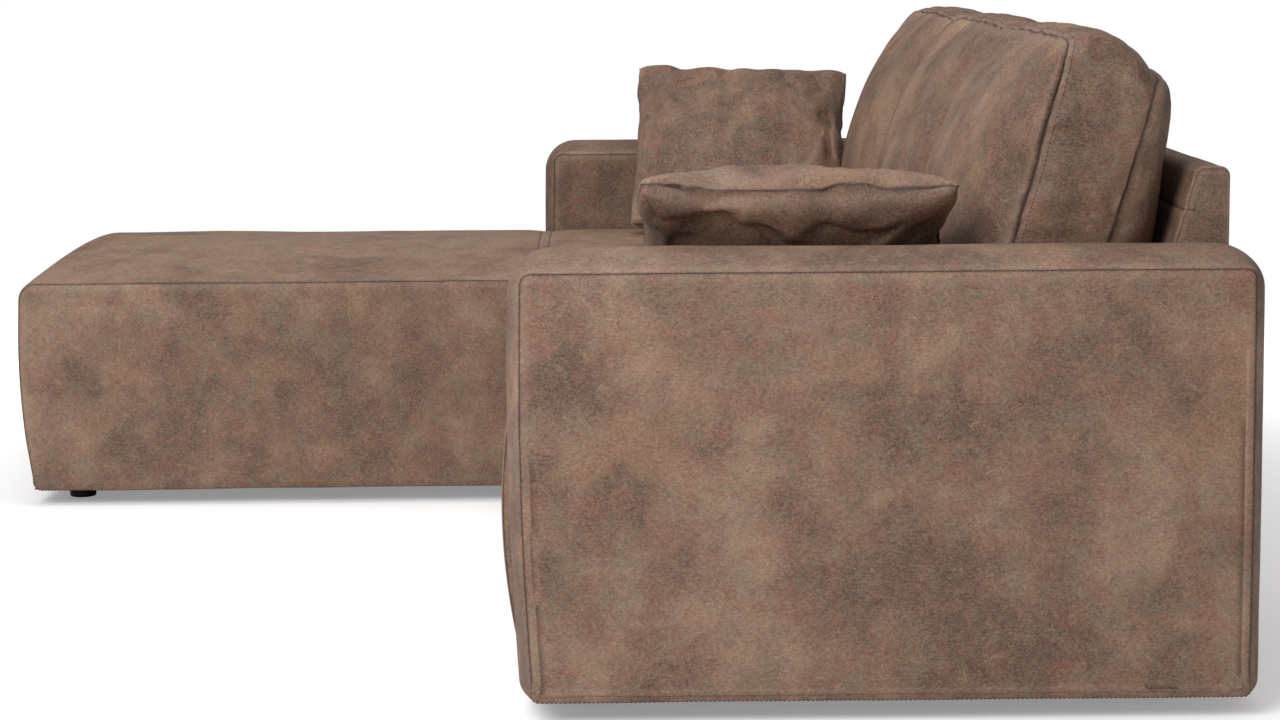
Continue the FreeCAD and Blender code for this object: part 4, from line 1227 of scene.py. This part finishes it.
class SOFA_OT_back_cushions(bpy.types.Operator):
    """Makes the three back cushions, with their creases"""

    bl_idname = "sofa.back_cushions"
    bl_label = "Back cushions"

    def execute(self, context):
        p, c = context.scene.sofa_sizes, context.scene.sofa_cushions
        finishes()
        inner, _ = places_of(p)
        for index, place in enumerate(("left", "middle", "right")):
            left = -inner + index * p.module
            cover, loops, (x0, x1, base, top) = back_cushion(p, c, left)
            rest, faces, panels, seams, rims = cover.arrays()
            points = rest
            low = 1 - ease(rest[:, 2], base + 0.004, base + 0.06)
            behind = ease(rest[:, 1], rest[:, 1].max() - 0.06, rest[:, 1].max() - 0.01)
            start = crumple(rest, 200 + 10 * index, 0.002, 0.055, (1 - low)[:, None])
            held = np.round(np.clip(low * 0.9 + behind * 0.3 + seams * 0.75, 0.03, 0.9), 1)
            loose = settle(start, faces, held, c.settle_frames, **BACK_CUSHION_CLOTH)
            points = capped(loose, rest, BACK_CUSHION_CAP)
            points[:, 0] = np.clip(points[:, 0], left + 0.0008, left + p.module - 0.0008)
            points, rest, faces, panels, seams, rims = refined(points, rest, faces, panels, seams, rims)
            points = self.gathered(points, rest, faces, panels, seams, (x0, x1, base, top), index)
            points[:, 2] = np.maximum(points[:, 2], base - 0.004)
            obj = mesh_object(place + "_back_cushion", points, faces, HIDE)
            # painted light and shade: the cushion's front painted lighter, the parts behind it darker
            behind_front = ease(rest[:, 1], rest[:, 1].min(), rest[:, 1].min() + 0.16)
            shade = PAINTED_LIGHT_LEVELS["back_cushion"] + PAINTED_LIGHT_LEVELS["back_cushion_rear"] * behind_front
            dress(obj, rest, panels, seams, rims, 61 + 7 * index, shade)
            finished(obj, place + "_back_cushion", "leather_cover", place + "_back_cushion_cover",
                     place + "_back_cushion_filling")
            lines = [raised_line(points, faces, loop, True) for loop in loops]
            stitches(place + "_back_cushion_stitches", lines, place + "_back_cushion", context.scene.sofa_seams)
        return {"FINISHED"}

    def gathered(self, points, rest, faces, panels, seams, box, index):
        """Puckers beside the seams, upright dents in the gusset and a hollow at its foot."""
        x0, x1, base, top = box
        n = normals_of(points, faces)
        x, y, z = rest.T

        def wrinkles(u, v, w, size, seed):
            return drift(np.column_stack([u, v, w]), size, seed + index)

        high = ease(z, base + 0.20, top - 0.01)
        end = np.minimum(x - x0, x1 - x)
        on_gusset = np.zeros(len(rest))
        on_gusset[np.unique(faces[panels == 2])] = 1
        side = on_gusset * (end < 0.012)
        over = on_gusset * (1 - side)
        ahead = ease(y, y.min(), y.max())
        fan = wrinkles(y * 3.4, z * 0.55, x, 0.050, 300)
        broad = wrinkles(y * 1.3, z * 0.7, x, 0.070, 320)
        puckers = wrinkles(x * 3.0, y, z * 0.5, 0.045, 340)
        ruck = wrinkles(y * 0.8, z * 3.2, x, 0.060, 360)
        calm = 1 - seams
        move = side * (0.0022 * fan * high + 0.0040 * broad + 0.0026 * ruck * (1 - ahead) * (1 - high * 0.5))
        move -= side * 0.0070 * np.exp(-((z - base - 0.045) / 0.035) ** 2 - ((ahead - 0.16) / 0.16) ** 2)
        move += over * 0.0022 * puckers
        for level, depth, reach, drop in ((0.30, 0.0034, 0.42, 0.02), (0.335, 0.0022, 0.30, 0.05),
                                          (0.155, 0.0034, 0.36, -0.03), (0.185, 0.0020, 0.26, -0.01),
                                          (0.395, 0.0024, 0.30, 0.03)):
            d = z - base - level - drop * ahead + 0.004 * broad
            fade = np.exp(-(ahead / reach) ** 2)
            move += side * fade * depth * (0.6 * np.exp(-((d - 0.011) / 0.009) ** 2) - np.exp(-(d / 0.0045) ** 2))
        front = np.zeros(len(rest))
        front[np.unique(faces[panels == 0])] = 1
        front *= 1 - on_gusset
        rim = np.minimum(end, np.minimum(top - z, z - base))
        streaks = wrinkles(x * 3.0, y, z * 0.20, 0.046, 380)
        lean = wrinkles(x * 0.9, y, z * 0.30, 0.060, 400)
        move += front * 0.0034 * streaks * np.exp(-np.maximum(rim, 0) / 0.09)
        move += front * 0.0060 * lean * np.exp(-np.maximum(end, 0) / 0.09)
        return points + n * (move * calm)[:, None]


def scatter_cushion(c):
    """A scatter cushion's two panels round the origin, crowned and sewn all round."""
    side = c.scatter
    n = 72
    edge = np.sin(np.linspace(-1, 1, n + 1) * 1.42) / math.sin(1.42) * side / 2
    x, y = np.meshgrid(edge, edge, indexing="ij")
    a, b = 2 * x / side, 2 * y / side
    draw = 0.008
    px = x - np.sign(x) * draw * np.abs(a) * (1 - b * b) * np.abs(a)
    py = y - np.sign(y) * draw * np.abs(b) * (1 - a * a) * np.abs(b)
    inside = np.minimum(side / 2 - np.abs(x), side / 2 - np.abs(y))
    crown = np.clip((1 - np.abs(a) ** 2.3) * (1 - np.abs(b) ** 2.3), 0, 1) ** 0.58 * c.scatter_thickness / 2
    cover = Cover()
    flange = np.clip(inside / 0.004, 0, 1)
    top = cover.add(np.stack([px, py, crown * flange], -1), seam_mark(inside), rim_mark(inside))
    low = cover.add(np.stack([px, py, -crown * flange], -1), seam_mark(inside), rim_mark(inside))
    low[0, :], low[-1, :], low[:, 0], low[:, -1] = top[0, :], top[-1, :], top[:, 0], top[:, -1]
    cover.quads(top, 0, flip=True)
    cover.quads(low, 1)
    points, faces, panels, seams, rims = cover.arrays()
    used = np.unique(faces)
    renumber = np.full(len(points), -1)
    renumber[used] = np.arange(len(used))
    return points[used], renumber[faces], panels, seams[used], rims[used]


def crumple(points, seed, amount, size, share=1.0):
    """Shakes points by smooth noise, so that cloth has somewhere to start its creases."""
    return points + amount * np.column_stack([drift(points, size, seed + k) for k in range(3)]) * share


def straightened(points, rest):
    """Turns and moves settled points back over where they started, and gives them their size back."""
    a, b = points - points.mean(0), rest - rest.mean(0)
    u, _, v = np.linalg.svd(a.T @ b)
    turn = u @ np.diag([1, 1, np.sign(np.linalg.det(u @ v))]) @ v
    a = a @ turn
    reach = np.percentile(np.abs(a), 98, axis=0)
    return a * np.percentile(np.abs(b), 98, axis=0) / reach + rest.mean(0)


def refined(points, rest, faces, panels, seams, rims):
    """The same cover with each face split in four, and its points smoothed as Blender's subdivision does."""
    obj = mesh_object("refining", points, faces, HIDE)
    mesh = obj.data
    kept = {"rest": rest, "seam": seams, "rim": rims}
    for label, values in kept.items():
        vector = values.ndim == 2
        made = mesh.attributes.new(label, "FLOAT_VECTOR" if vector else "FLOAT", "POINT")
        made.data.foreach_set("vector" if vector else "value", values.astype(np.float32).ravel())
    mesh.attributes.new("panel", "INT", "FACE").data.foreach_set("value", panels.astype(np.int32))
    modifier = obj.modifiers.new("split", "SUBSURF")
    modifier.levels = modifier.render_levels = 1
    fine = made_plain(obj)

    def read(data, label, width, kind=np.float32):
        values = np.empty(len(data) * width, kind)
        data.foreach_get(label, values)
        return values.reshape(-1, width) if width > 1 else values

    result = (read(fine.vertices, "co", 3).astype(float),
              read(fine.attributes["rest"].data, "vector", 3).astype(float),
              read(fine.loops, "vertex_index", 1, np.int32).reshape(-1, 4).astype(int),
              read(fine.attributes["panel"].data, "value", 1, np.int32),
              read(fine.attributes["seam"].data, "value", 1).astype(float),
              read(fine.attributes["rim"].data, "value", 1).astype(float))
    bpy.data.objects.remove(obj)
    return result


def capped(points, rest, most):
    """Keeps each point within a distance of where it started, gently."""
    move = points - rest
    far = np.linalg.norm(move, axis=1)
    held = most * np.tanh(far / most)
    return rest + move * (held / np.maximum(far, 1e-9))[:, None]


class SOFA_OT_scatter_cushions(bpy.types.Operator):
    """Makes the two scatter cushions"""

    bl_idname = "sofa.scatter_cushions"
    bl_label = "Scatter cushions"

    def execute(self, context):
        p, c = context.scene.sofa_sizes, context.scene.sofa_cushions
        finishes()
        for place, seed in (("left", 3), ("right", 8)):
            rest, faces, panels, seams, rims = scatter_cushion(c)
            points = rest
            start = crumple(rest, seed, 0.004, 0.07)
            loose = settle(start, faces, np.round(seams * 0.4, 1), c.settle_frames, **SCATTER_CLOTH)
            points = capped(straightened(loose, rest), rest, SCATTER_CAP)
            points, rest, faces, panels, seams, rims = refined(points, rest, faces, panels, seams, rims)
            points = self.folded(points, rest, faces, c, place)
            matrix = pillow_place(p, c, place)
            points = points @ matrix[:3, :3].T + matrix[:3, 3]
            if closed_volume(points, faces) < 0:
                faces = faces[:, ::-1]
            obj = mesh_object(place + "_scatter_cushion", points, faces, HIDE)
            # painted shade on each scatter cushion, the left one most
            dress(obj, rest, panels, seams, rims, 83 + seed, PAINTED_LIGHT_LEVELS[place + "_scatter"])
            finished(obj, place + "_scatter_cushion", "leather_cover", place + "_scatter_cushion_cover",
                     place + "_scatter_cushion_filling")
        return {"FINISHED"}

    def folded(self, points, rest, faces, c, place):
        """Soft folds across a scatter cushion, ears at its corners and dents beside its seam."""
        n = normals_of(points, faces)
        a, b = 2 * rest[:, 0] / c.scatter, 2 * rest[:, 1] / c.scatter
        edge = np.minimum(1 - np.abs(a), 1 - np.abs(b))
        seed = len(place)
        spokes = drift(np.column_stack([a * 0.16, b * 0.16, np.sign(rest[:, 2]) * 2.0]), 0.030, seed)
        upright = drift(np.column_stack([a * 0.08, b * 0.60, np.sign(rest[:, 2])]), 0.085, seed + 3)
        long = drift(np.column_stack([a * 0.55, b * 0.09, np.sign(rest[:, 2])]), 0.090, seed + 5)
        middle = np.clip(edge / 0.25, 0, 1)
        near = np.exp(-((edge - 0.12) / 0.12) ** 2)
        calm = 0.5 if place == "right" else 1.0
        move = 0.0035 * spokes * near + calm * (0.0040 * upright + 0.0030 * long) * middle
        corner = np.clip(np.abs(a * b) - 0.55, 0, 0.45) / 0.45
        move -= 0.0060 * corner * (1 - corner) * 4
        return points + n * (move * np.clip(edge / 0.03, 0, 1))[:, None]


def pillow_place(p, c, place):
    """Where a scatter cushion leans: a 4 by 4 matrix."""
    inner, _ = places_of(p)
    contact, lean_in, rise, turn, from_rear = {
        "left": (0.0461, 0.020, 0.0103, -3.0, 0.583),
        "right": (0.1516, 0.008, 0.0348, 0.0, 0.591),
    }[place]
    foot = p.seam_height + 0.038 + rise
    back = c.scatter_thickness / 2 - lean_in
    along = c.scatter / 2 + contact
    tilt = math.acos((p.arm_height - foot) / math.hypot(along, back)) - math.atan2(back, along)
    centre = foot + c.scatter / 2 * math.cos(tilt)
    x = (back + (centre - p.arm_height) * math.sin(tilt)) / math.cos(tilt)
    matrix = (Matrix.Translation((x - inner, p.rear - from_rear, centre))
              @ Matrix.Rotation(math.pi / 2 - tilt, 4, "Y") @ Matrix.Rotation(math.radians(turn), 4, "Z"))
    made = np.array(matrix)
    flip = np.diag([-1.0 if place == "right" else 1.0, 1.0, 1.0, 1.0])
    return flip @ made @ flip


# Frames, straps, feet and hardware

def base_edges(p, unit):
    """Outline of a unit's base: left, right, front and rear, and the arm's step in the chaise's."""
    inner, outer = places_of(p)
    split, front = p.module - inner, p.rear - p.arm_depth
    side = 0.0026
    step = (-inner + 0.0036, front - 0.0256)
    if unit == "seat":
        return (split + 0.001 + side, inner - 0.001 - side, front - p.seat_setback + side + 0.022,
                seat_rear(p) - side, None)
    return (-outer + side, split - 0.001 - side, p.rear - p.chaise_reach + side + 0.022, seat_rear(p) - side, step)


def spread(a, b, pitch):
    count = max(int(round((b - a) / pitch)) - 1, 1)
    return [a + (b - a) * (i + 1) / (count + 1) for i in range(count)]


def slab(cover, top, under, panel):
    """A closed sheet between an upper and a lower grid of points."""
    a, b = cover.add(top), cover.add(under)
    cover.quads(a, panel, flip=True)
    cover.quads(b, panel)
    for upper, lower in ((a[0], b[0]), (a[-1][::-1], b[-1][::-1]), (a[:, -1], b[:, -1]), (a[::-1, 0], b[::-1, 0])):
        cover.quads(np.stack([lower, upper]), panel)
    return a


class SOFA_OT_webbing(bpy.types.Operator):
    """Weaves the elastic straps under the seats"""

    bl_idname = "sofa.webbing"
    bl_label = "Webbing"

    def execute(self, context):
        p = context.scene.sofa_sizes
        finishes()
        for unit in ("seat", "chaise"):
            x0, x1, y0, y1, step = base_edges(p, unit)
            fields = [(x0, x1, y0, y1)]
            if step:
                fields = [(x0, x1, y0, step[1] - 0.0131), (step[0], x1, step[1] - 0.0119, y1)]
            cover, marks = Cover(), []
            for a, b, c, d in fields:
                columns, rows = spread(a, b, STRAP_PITCH[0]), spread(c, d, STRAP_PITCH[1])
                for i, x in enumerate(columns):
                    self.strap(cover, marks, c, d, x, False, i % 2 == 0, rows, p.seam_height - STRAPS_BELOW_SEAM)
                for j, y in enumerate(rows):
                    self.strap(cover, marks, a, b, y, True, j % 2 == 1, columns, p.seam_height - STRAPS_BELOW_SEAM)
            points, faces, *_ = cover.arrays()
            obj = mesh_object(unit + "_straps", points, faces, "elastic_webbing", outward=True)
            uv = obj.data.uv_layers.new(name="UVMap")
            flat = np.concatenate(marks)
            corner = np.empty(len(obj.data.loops), np.int32)
            obj.data.loops.foreach_get("vertex_index", corner)
            uv.data.foreach_set("uv", flat[corner].ravel().astype(np.float32))
            finished(obj, "root", "webbing", unit + "_webbing")
        return {"FINISHED"}

    def strap(self, cover, marks, start, end, centre, along_x, first_over, crossings, level):
        """One strap, over and under the straps that it crosses, and the places of its points on it."""
        run = np.linspace(start, end, max(int((end - start) / 0.012), 24))
        height = np.full(len(run), level + 0.0006)
        share = np.zeros(len(run))
        total = np.zeros(len(run))
        up = first_over
        for c in crossings:
            near = np.exp(-((run - c) / 0.036) ** 4)
            total += near * (level + (0.0036 if up else 0.0012))
            share += near
            up = not up
        height = height * (1 - np.clip(share, 0, 1)) + total / np.maximum(share, 1e-9) * np.clip(share, 0, 1)
        thick = STRAP_THICK / 2
        u, v = np.meshgrid(run, STRAP_ACROSS, indexing="ij")
        z = np.repeat(height[:, None], len(STRAP_ACROSS), 1) + STRAP_THICK.max() / 2
        plan = (u, centre + v) if along_x else (centre + v, u)
        top, low = np.stack([*plan, z + thick], -1), np.stack([*plan, z - thick], -1)
        if not along_x:
            top, low = top[:, ::-1], low[:, ::-1]
            v = v[:, ::-1]
        slab(cover, top, low, 0)
        flat = np.stack([v + STRAP_HALF, u], -1).reshape(-1, 2)
        marks.extend([flat, flat])


def panel_sheet(name, span, step, thickness, material, waves, seed):
    """A thin sheet over a rectangle, or over an L round a step at its rear left. Gives its flat area too."""
    x0, x1, y0, y1, low = span
    xs = np.linspace(x0, x1, max(int((x1 - x0) / 0.02), 8))
    ys = np.linspace(y0, y1, max(int((y1 - y0) / 0.02), 8))
    if step:
        xs[np.argmin(np.abs(xs - step[0]))], ys[np.argmin(np.abs(ys - step[1]))] = step
    x, y = np.meshgrid(xs, ys, indexing="ij")
    flat = np.stack([x, y, np.zeros_like(x)], -1)
    edge = np.minimum(np.minimum(x - x0, x1 - x), np.minimum(y - y0, y1 - y))
    if step:
        edge = np.minimum(edge, np.maximum(np.abs(x - step[0]) + (y < step[1]), np.abs(y - step[1])))
    swell = waves * drift(flat.reshape(-1, 3), 0.11, seed).reshape(x.shape) * np.clip(edge / 0.03, 0, 1)
    z = low + thickness / 2 + swell
    keep = np.ones((len(xs) - 1, len(ys) - 1), bool)
    if step:
        keep = ~(((xs[:-1] + xs[1:]) / 2 < step[0])[:, None] & ((ys[:-1] + ys[1:]) / 2 > step[1])[None])
    points, faces = [], []
    n = x.size
    ids = np.arange(n).reshape(x.shape)
    for sign, flip in ((0.5, False), (-0.5, True)):
        points.append(np.stack([x, y, z + sign * thickness], -1).reshape(-1, 3))
        base = ids + (0 if sign > 0 else n)
        q = np.stack([base[:-1, :-1], base[1:, :-1], base[1:, 1:], base[:-1, 1:]], -1)[keep]
        faces.append(q[:, ::-1] if flip else q)
    top = faces[0]
    edges = {}
    for face in top.tolist():
        for a, b in zip(face, face[1:] + face[:1]):
            edges[(a, b)] = True
    walls = [(b, a, a + n, b + n) for a, b in edges if (b, a) not in edges]
    faces.append(np.array(walls))
    points, faces = np.concatenate(points), np.concatenate(faces)
    used = np.unique(faces)
    renumber = np.full(len(points), -1)
    renumber[used] = np.arange(len(used))
    obj = mesh_object(name, points[used], renumber[faces], material)
    area = (x1 - x0) * (y1 - y0) - ((step[0] - x0) * (y1 - step[1]) if step else 0)
    return obj, area


def outline_of(span, step, inset):
    x0, x1, y0, y1, low = span
    a, b, c, d = x0 + inset, x1 - inset, y0 + inset, y1 - inset
    if step:
        s, t = step[0] + inset, step[1] - inset
        corners = [(a, c), (b, c), (b, d), (s, d), (s, t), (a, t)]
    else:
        corners = [(a, c), (b, c), (b, d), (a, d)]
    return np.array([(x, y, low) for x, y in corners])


class SOFA_OT_cloths(bpy.types.Operator):
    """Makes the felts over the straps, and the stapled dust covers under the units"""

    bl_idname = "sofa.cloths"
    bl_label = "Felts and dust covers"

    def execute(self, context):
        p = context.scene.sofa_sizes
        finishes()
        for unit in ("seat", "chaise"):
            x0, x1, y0, y1, step = base_edges(p, unit)
            level = p.seam_height - STRAPS_BELOW_SEAM + FELT_RISE
            obj, area = panel_sheet(unit + "_felt_sheet", (x0, x1, y0, y1, level), step, FELT_THICKNESS,
                                    FLEECE, 0.0003, 5)
            finished(obj, "root", "felt", unit + "_felt")
            x1 - x0
            y1 - y0
        inner, outer = places_of(p)
        split, front = p.module - inner, p.rear - p.arm_depth
        rear, _, knee = back_size(p)
        low = p.floor_gap - 0.0009
        notch = (-inner + UNIT_GAP + CLOTH_EDGE, front - 0.022 - UNIT_GAP - CLOTH_EDGE)
        spans = {
            "seat": ((split + UNIT_GAP, inner - UNIT_GAP, front - p.seat_setback, seat_rear(p)), None,
                     "seat_frame"),
            "chaise": ((-outer, split - UNIT_GAP, p.rear - p.chaise_reach, seat_rear(p)), notch,
                       "chaise_frame"),
            "right_arm": ((inner, outer, front, p.rear), None, "right_arm_frame"),
            "left_arm": ((-outer, -inner, front, p.rear), None, "left_arm_frame"),
            "seat_backrest": ((split + HALF_GAP, inner - UNIT_GAP, knee, rear), None, "seat_backrest_frame"),
            "chaise_backrest": ((-inner + UNIT_GAP, split - HALF_GAP, knee, rear), None,
                                "chaise_backrest_frame"),
        }
        for k, (name, (box, step, frame_name)) in enumerate(spans.items()):
            span = (box[0] + CLOTH_EDGE, box[1] - CLOTH_EDGE, box[2] + CLOTH_EDGE, box[3] - CLOTH_EDGE, low)
            obj, area = panel_sheet(name + "_dust_sheet", span, step, CLOTH_THICKNESS, "spun_dust_cloth",
                                    0.00018, 9 + k)
            finished(obj, "root", "dust_cloth", name + "_dust_cover")
            span[1] - span[0]
            span[3] - span[2]
            corners = outline_of((*span[:4], low - CLOTH_THICKNESS / 2), step, STAPLE_INSET)
            n = len(corners)
            staples = rods_named("row_of_staples", "Width", "Wire", 0.25).run(
                name + "_staples", corners, [(i, (i + 1) % n) for i in range(n)],
                {**STAPLES, "Seed": 4 + k, "Material": bpy.data.materials[STEEL]})
            finished(staples, "root", "steel")
        return {"FINISHED"}


class SOFA_OT_feet(bpy.types.Operator):
    """Makes the moulded feet under the units"""

    bl_idname = "sofa.feet"
    bl_label = "Feet"

    def execute(self, context):
        finishes()
        turn = np.linspace(0, 2 * math.pi, FOOT_SIDES + 1)[:-1]
        for owner in ("left_arm", "right_arm", "seat", "chaise"):
            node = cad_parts[owner + "_feet"]
            spots = []
            for vertex in node.data.vertices:
                if not any(math.hypot(vertex.co.x - x, vertex.co.y - y) < 0.06 for x, y in spots):
                    spots.append((vertex.co.x, vertex.co.y))
            corners = np.array([tuple(v.co) for v in node.data.vertices])
            cover = Cover()
            for x, y in spots:
                near = corners[np.hypot(corners[:, 0] - x, corners[:, 1] - y) < 0.06]
                cx, cy = (near[:, 0].min() + near[:, 0].max()) / 2, (near[:, 1].min() + near[:, 1].max()) / 2
                rings = np.array([[(cx + r * math.cos(a), cy + r * math.sin(a), z) for a in turn]
                                  for r, z in FOOT_PROFILE[1:-1]])
                ids = cover.add(rings)
                cover.quads(ids, 0, closed=True, flip=True)
                for ring, (_, z), flip in ((ids[0], FOOT_PROFILE[0], False), (ids[-1], FOOT_PROFILE[-1], True)):
                    small = cover.add(np.array([(cx + 0.002 * math.cos(a), cy + 0.002 * math.sin(a), z)
                                                for a in turn]))
                    cover.quads(np.stack([ring, small]), 0, closed=True, flip=not flip)
                    mid = cover.add(np.array([(cx, cy, z)]))
                    hub = np.full(FOOT_SIDES, mid[0])
                    fan = np.stack([small, np.roll(small, -1), hub, hub], -1)
                    cover.faces.append(fan if not flip else fan[:, [1, 0, 2, 3]])
                    cover.panels.append(np.zeros(FOOT_SIDES, int))
            points, faces, *_ = cover.arrays()
            tidy = [list(dict.fromkeys(face)) for face in faces.tolist()]
            obj = mesh_object(owner + "_moulded_feet", points, tidy, "moulded_plastic", outward=True)
            finished(obj, "root", "foot", owner + "_feet")
        return {"FINISHED"}


class SOFA_OT_inside(bpy.types.Operator):
    """Gives the frames, boards, bolts, plates and feet their finishes"""

    bl_idname = "sofa.inside"
    bl_label = "Frames and hardware"

    def execute(self, context):
        finishes()
        rules = (("frame", "sawn_pine"), ("boards", "hardboard"), ("bolts", STEEL), ("nuts", STEEL),
                 ("plates", STEEL), ("screws", STEEL), ("feet", "moulded_plastic"),
                 ("webbing", "elastic_webbing"), ("felt", FLEECE), ("dust_cover", "spun_dust_cloth"),
                 ("cover", HIDE), ("padding", FLEECE), ("foam", FLEECE), ("filling", FLEECE))
        for name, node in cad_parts.items():
            material = next(m for end, m in rules if name.endswith(end))
            node.data.materials.clear()
            node.data.materials.append(bpy.data.materials[material])
        return {"FINISHED"}


# Stage

class SOFA_OT_stage(bpy.types.Operator):
    """Makes the floor, the lights and the camera"""

    bl_idname = "sofa.stage"
    bl_label = "Stage"

    def execute(self, context):
        scene = context.scene
        levels = scene.sofa_stage
        f = Finish("pale_floor")
        grain = f.noise(f.place(), 6.0, 3.0, 0.6)
        pale = f.mix(grain * 0.05, (0.86, 0.86, 0.87), (0.80, 0.80, 0.81))
        away = f.node("ShaderNodeVectorMath", {"operation": "LENGTH"}, {0: f.place()}).out("Value")
        path = f.node("ShaderNodeLightPath", {}, {})
        seen = path.out("Is Camera Ray")
        lit = f.node("ShaderNodeBsdfDiffuse", {}, {"Color": pale})
        glow = f.node("ShaderNodeEmission", {}, {"Color": (1.0, 1.0, 1.0), "Strength": 1.0})
        dark = f.node("ShaderNodeEmission", {}, {"Color": (1.0, 1.0, 1.0),
                                                 "Strength": seen * (0.27 + away.band(1.3, 3.2) * 0.57)})
        both = f.node("ShaderNodeAddShader", {}, {0: lit.out(0), 1: dark.out(0)})
        far = f.node("ShaderNodeMixShader", {}, {0: away.band(2.2, 4.5), 1: both.out(0), 2: glow.out(0)})
        picked = f.node("ShaderNodeMixShader", {}, {0: seen, 1: lit.out(0), 2: far.out(0)})
        f.node("ShaderNodeOutputMaterial", {}, {0: picked.out(0)})
        corners = FLOOR_REACH * np.array([(-1, -1, 0), (1, -1, 0), (1, 1, 0), (-1, 1, 0)])
        floor = mesh_object("floor", corners, np.array([(0, 1, 2, 3)]), "pale_floor")
        world = bpy.data.worlds.new("studio")
        scene.world = world
        world.use_nodes = True
        tree = world.node_tree
        tree.nodes.clear()
        path = tree.nodes.new("ShaderNodeLightPath")
        soft = tree.nodes.new("ShaderNodeBackground")
        soft.inputs["Strength"].default_value = levels.fill
        white = tree.nodes.new("ShaderNodeBackground")
        both = tree.nodes.new("ShaderNodeMixShader")
        out = tree.nodes.new("ShaderNodeOutputWorld")
        white.inputs["Color"].default_value = (1, 1, 1, 1)
        soft.inputs["Color"].default_value = (1.0, 0.99, 0.98, 1)
        tree.links.new(path.outputs["Is Camera Ray"], both.inputs[0])
        tree.links.new(soft.outputs[0], both.inputs[1])
        tree.links.new(white.outputs[0], both.inputs[2])
        tree.links.new(both.outputs[0], out.inputs[0])
        self.light(context, "key", (4.2, -2.2, 3.4), (0.2, 0.0, 0.4), 3.2, levels.key)
        self.light(context, "top", (-0.2, -0.4, 4.2), (0.0, 0.0, 0.4), 3.6, levels.top)
        camera = bpy.data.cameras.new("camera")
        camera.sensor_width, camera.lens = SENSOR_WIDTH, CAMERA_LENS
        camera.clip_start, camera.clip_end = 0.05, 400.0
        seen = bpy.data.objects.new("camera", camera)
        scene.collection.objects.link(seen)
        ahead, right, up = np.array([-1.0, 0, 0]), np.array([0, 1.0, 0]), np.array([0, 0, 1.0])

        def turn(a, b, angle):
            return math.cos(angle) * a + math.sin(angle) * b, math.cos(angle) * b - math.sin(angle) * a

        ahead, right = turn(ahead, right, CAMERA_YAW)
        up, ahead = turn(up, ahead, CAMERA_PITCH)
        right, up = turn(right, up, CAMERA_ROLL)
        turned = Matrix([[right[k], up[k], -ahead[k]] for k in range(3)]).to_4x4()
        turned.translation = CAMERA_PLACE
        seen.matrix_world = turned
        scene.camera = seen
        scene.view_settings.view_transform = "Standard"
        return {"FINISHED"}

    def light(self, context, name, place, aim, size, power):
        lamp = bpy.data.lights.new(name, "AREA")
        lamp.shape, lamp.size, lamp.energy = "DISK", size, power
        obj = bpy.data.objects.new(name, lamp)
        context.scene.collection.objects.link(obj)
        obj.location = place
        obj.rotation_euler = (Vector(aim) - Vector(place)).to_track_quat("-Z", "Y").to_euler()


class SOFA_PT_panel(bpy.types.Panel):
    bl_label = "Sofa"
    bl_idname = "SOFA_PT_panel"
    bl_space_type = "VIEW_3D"
    bl_region_type = "UI"
    bl_category = "Sofa"

    def draw(self, context):
        layout = self.layout
        scene = context.scene
        for group in (scene.sofa_sizes, scene.sofa_cushions, scene.sofa_seams, scene.sofa_colours,
                      scene.sofa_stage):
            box = layout.box()
            for name in group.__annotations__:
                box.prop(group, name)
        for operator in OPERATORS:
            layout.operator(operator.bl_idname)


OPERATORS = (SOFA_OT_stage, SOFA_OT_inside, SOFA_OT_webbing, SOFA_OT_cloths, SOFA_OT_feet, SOFA_OT_arms,
             SOFA_OT_seat, SOFA_OT_chaise, SOFA_OT_backrests, SOFA_OT_back_cushions, SOFA_OT_scatter_cushions)
GROUPS = {"sofa_sizes": SofaSizes, "sofa_cushions": CushionSizes, "sofa_seams": SeamSizes,
          "sofa_colours": LeatherColours, "sofa_stage": StageLevels}


def register():
    for item in (*GROUPS.values(), *OPERATORS, SOFA_PT_panel):
        bpy.utils.register_class(item)
    for name, group in GROUPS.items():
        setattr(bpy.types.Scene, name, PointerProperty(type=group))


def unregister():
    for name in GROUPS:
        delattr(bpy.types.Scene, name)
    for item in reversed((*GROUPS.values(), *OPERATORS, SOFA_PT_panel)):
        bpy.utils.unregister_class(item)


def main():
    register()
    bpy.ops.sofa.stage()
    bpy.ops.sofa.inside()
    bpy.ops.sofa.webbing()
    bpy.ops.sofa.cloths()
    bpy.ops.sofa.feet()
    bpy.ops.sofa.arms()
    bpy.ops.sofa.seat()
    bpy.ops.sofa.chaise()
    bpy.ops.sofa.backrests()
    bpy.ops.sofa.back_cushions()
    bpy.ops.sofa.scatter_cushions()


if __name__ == "__main__":
    main()
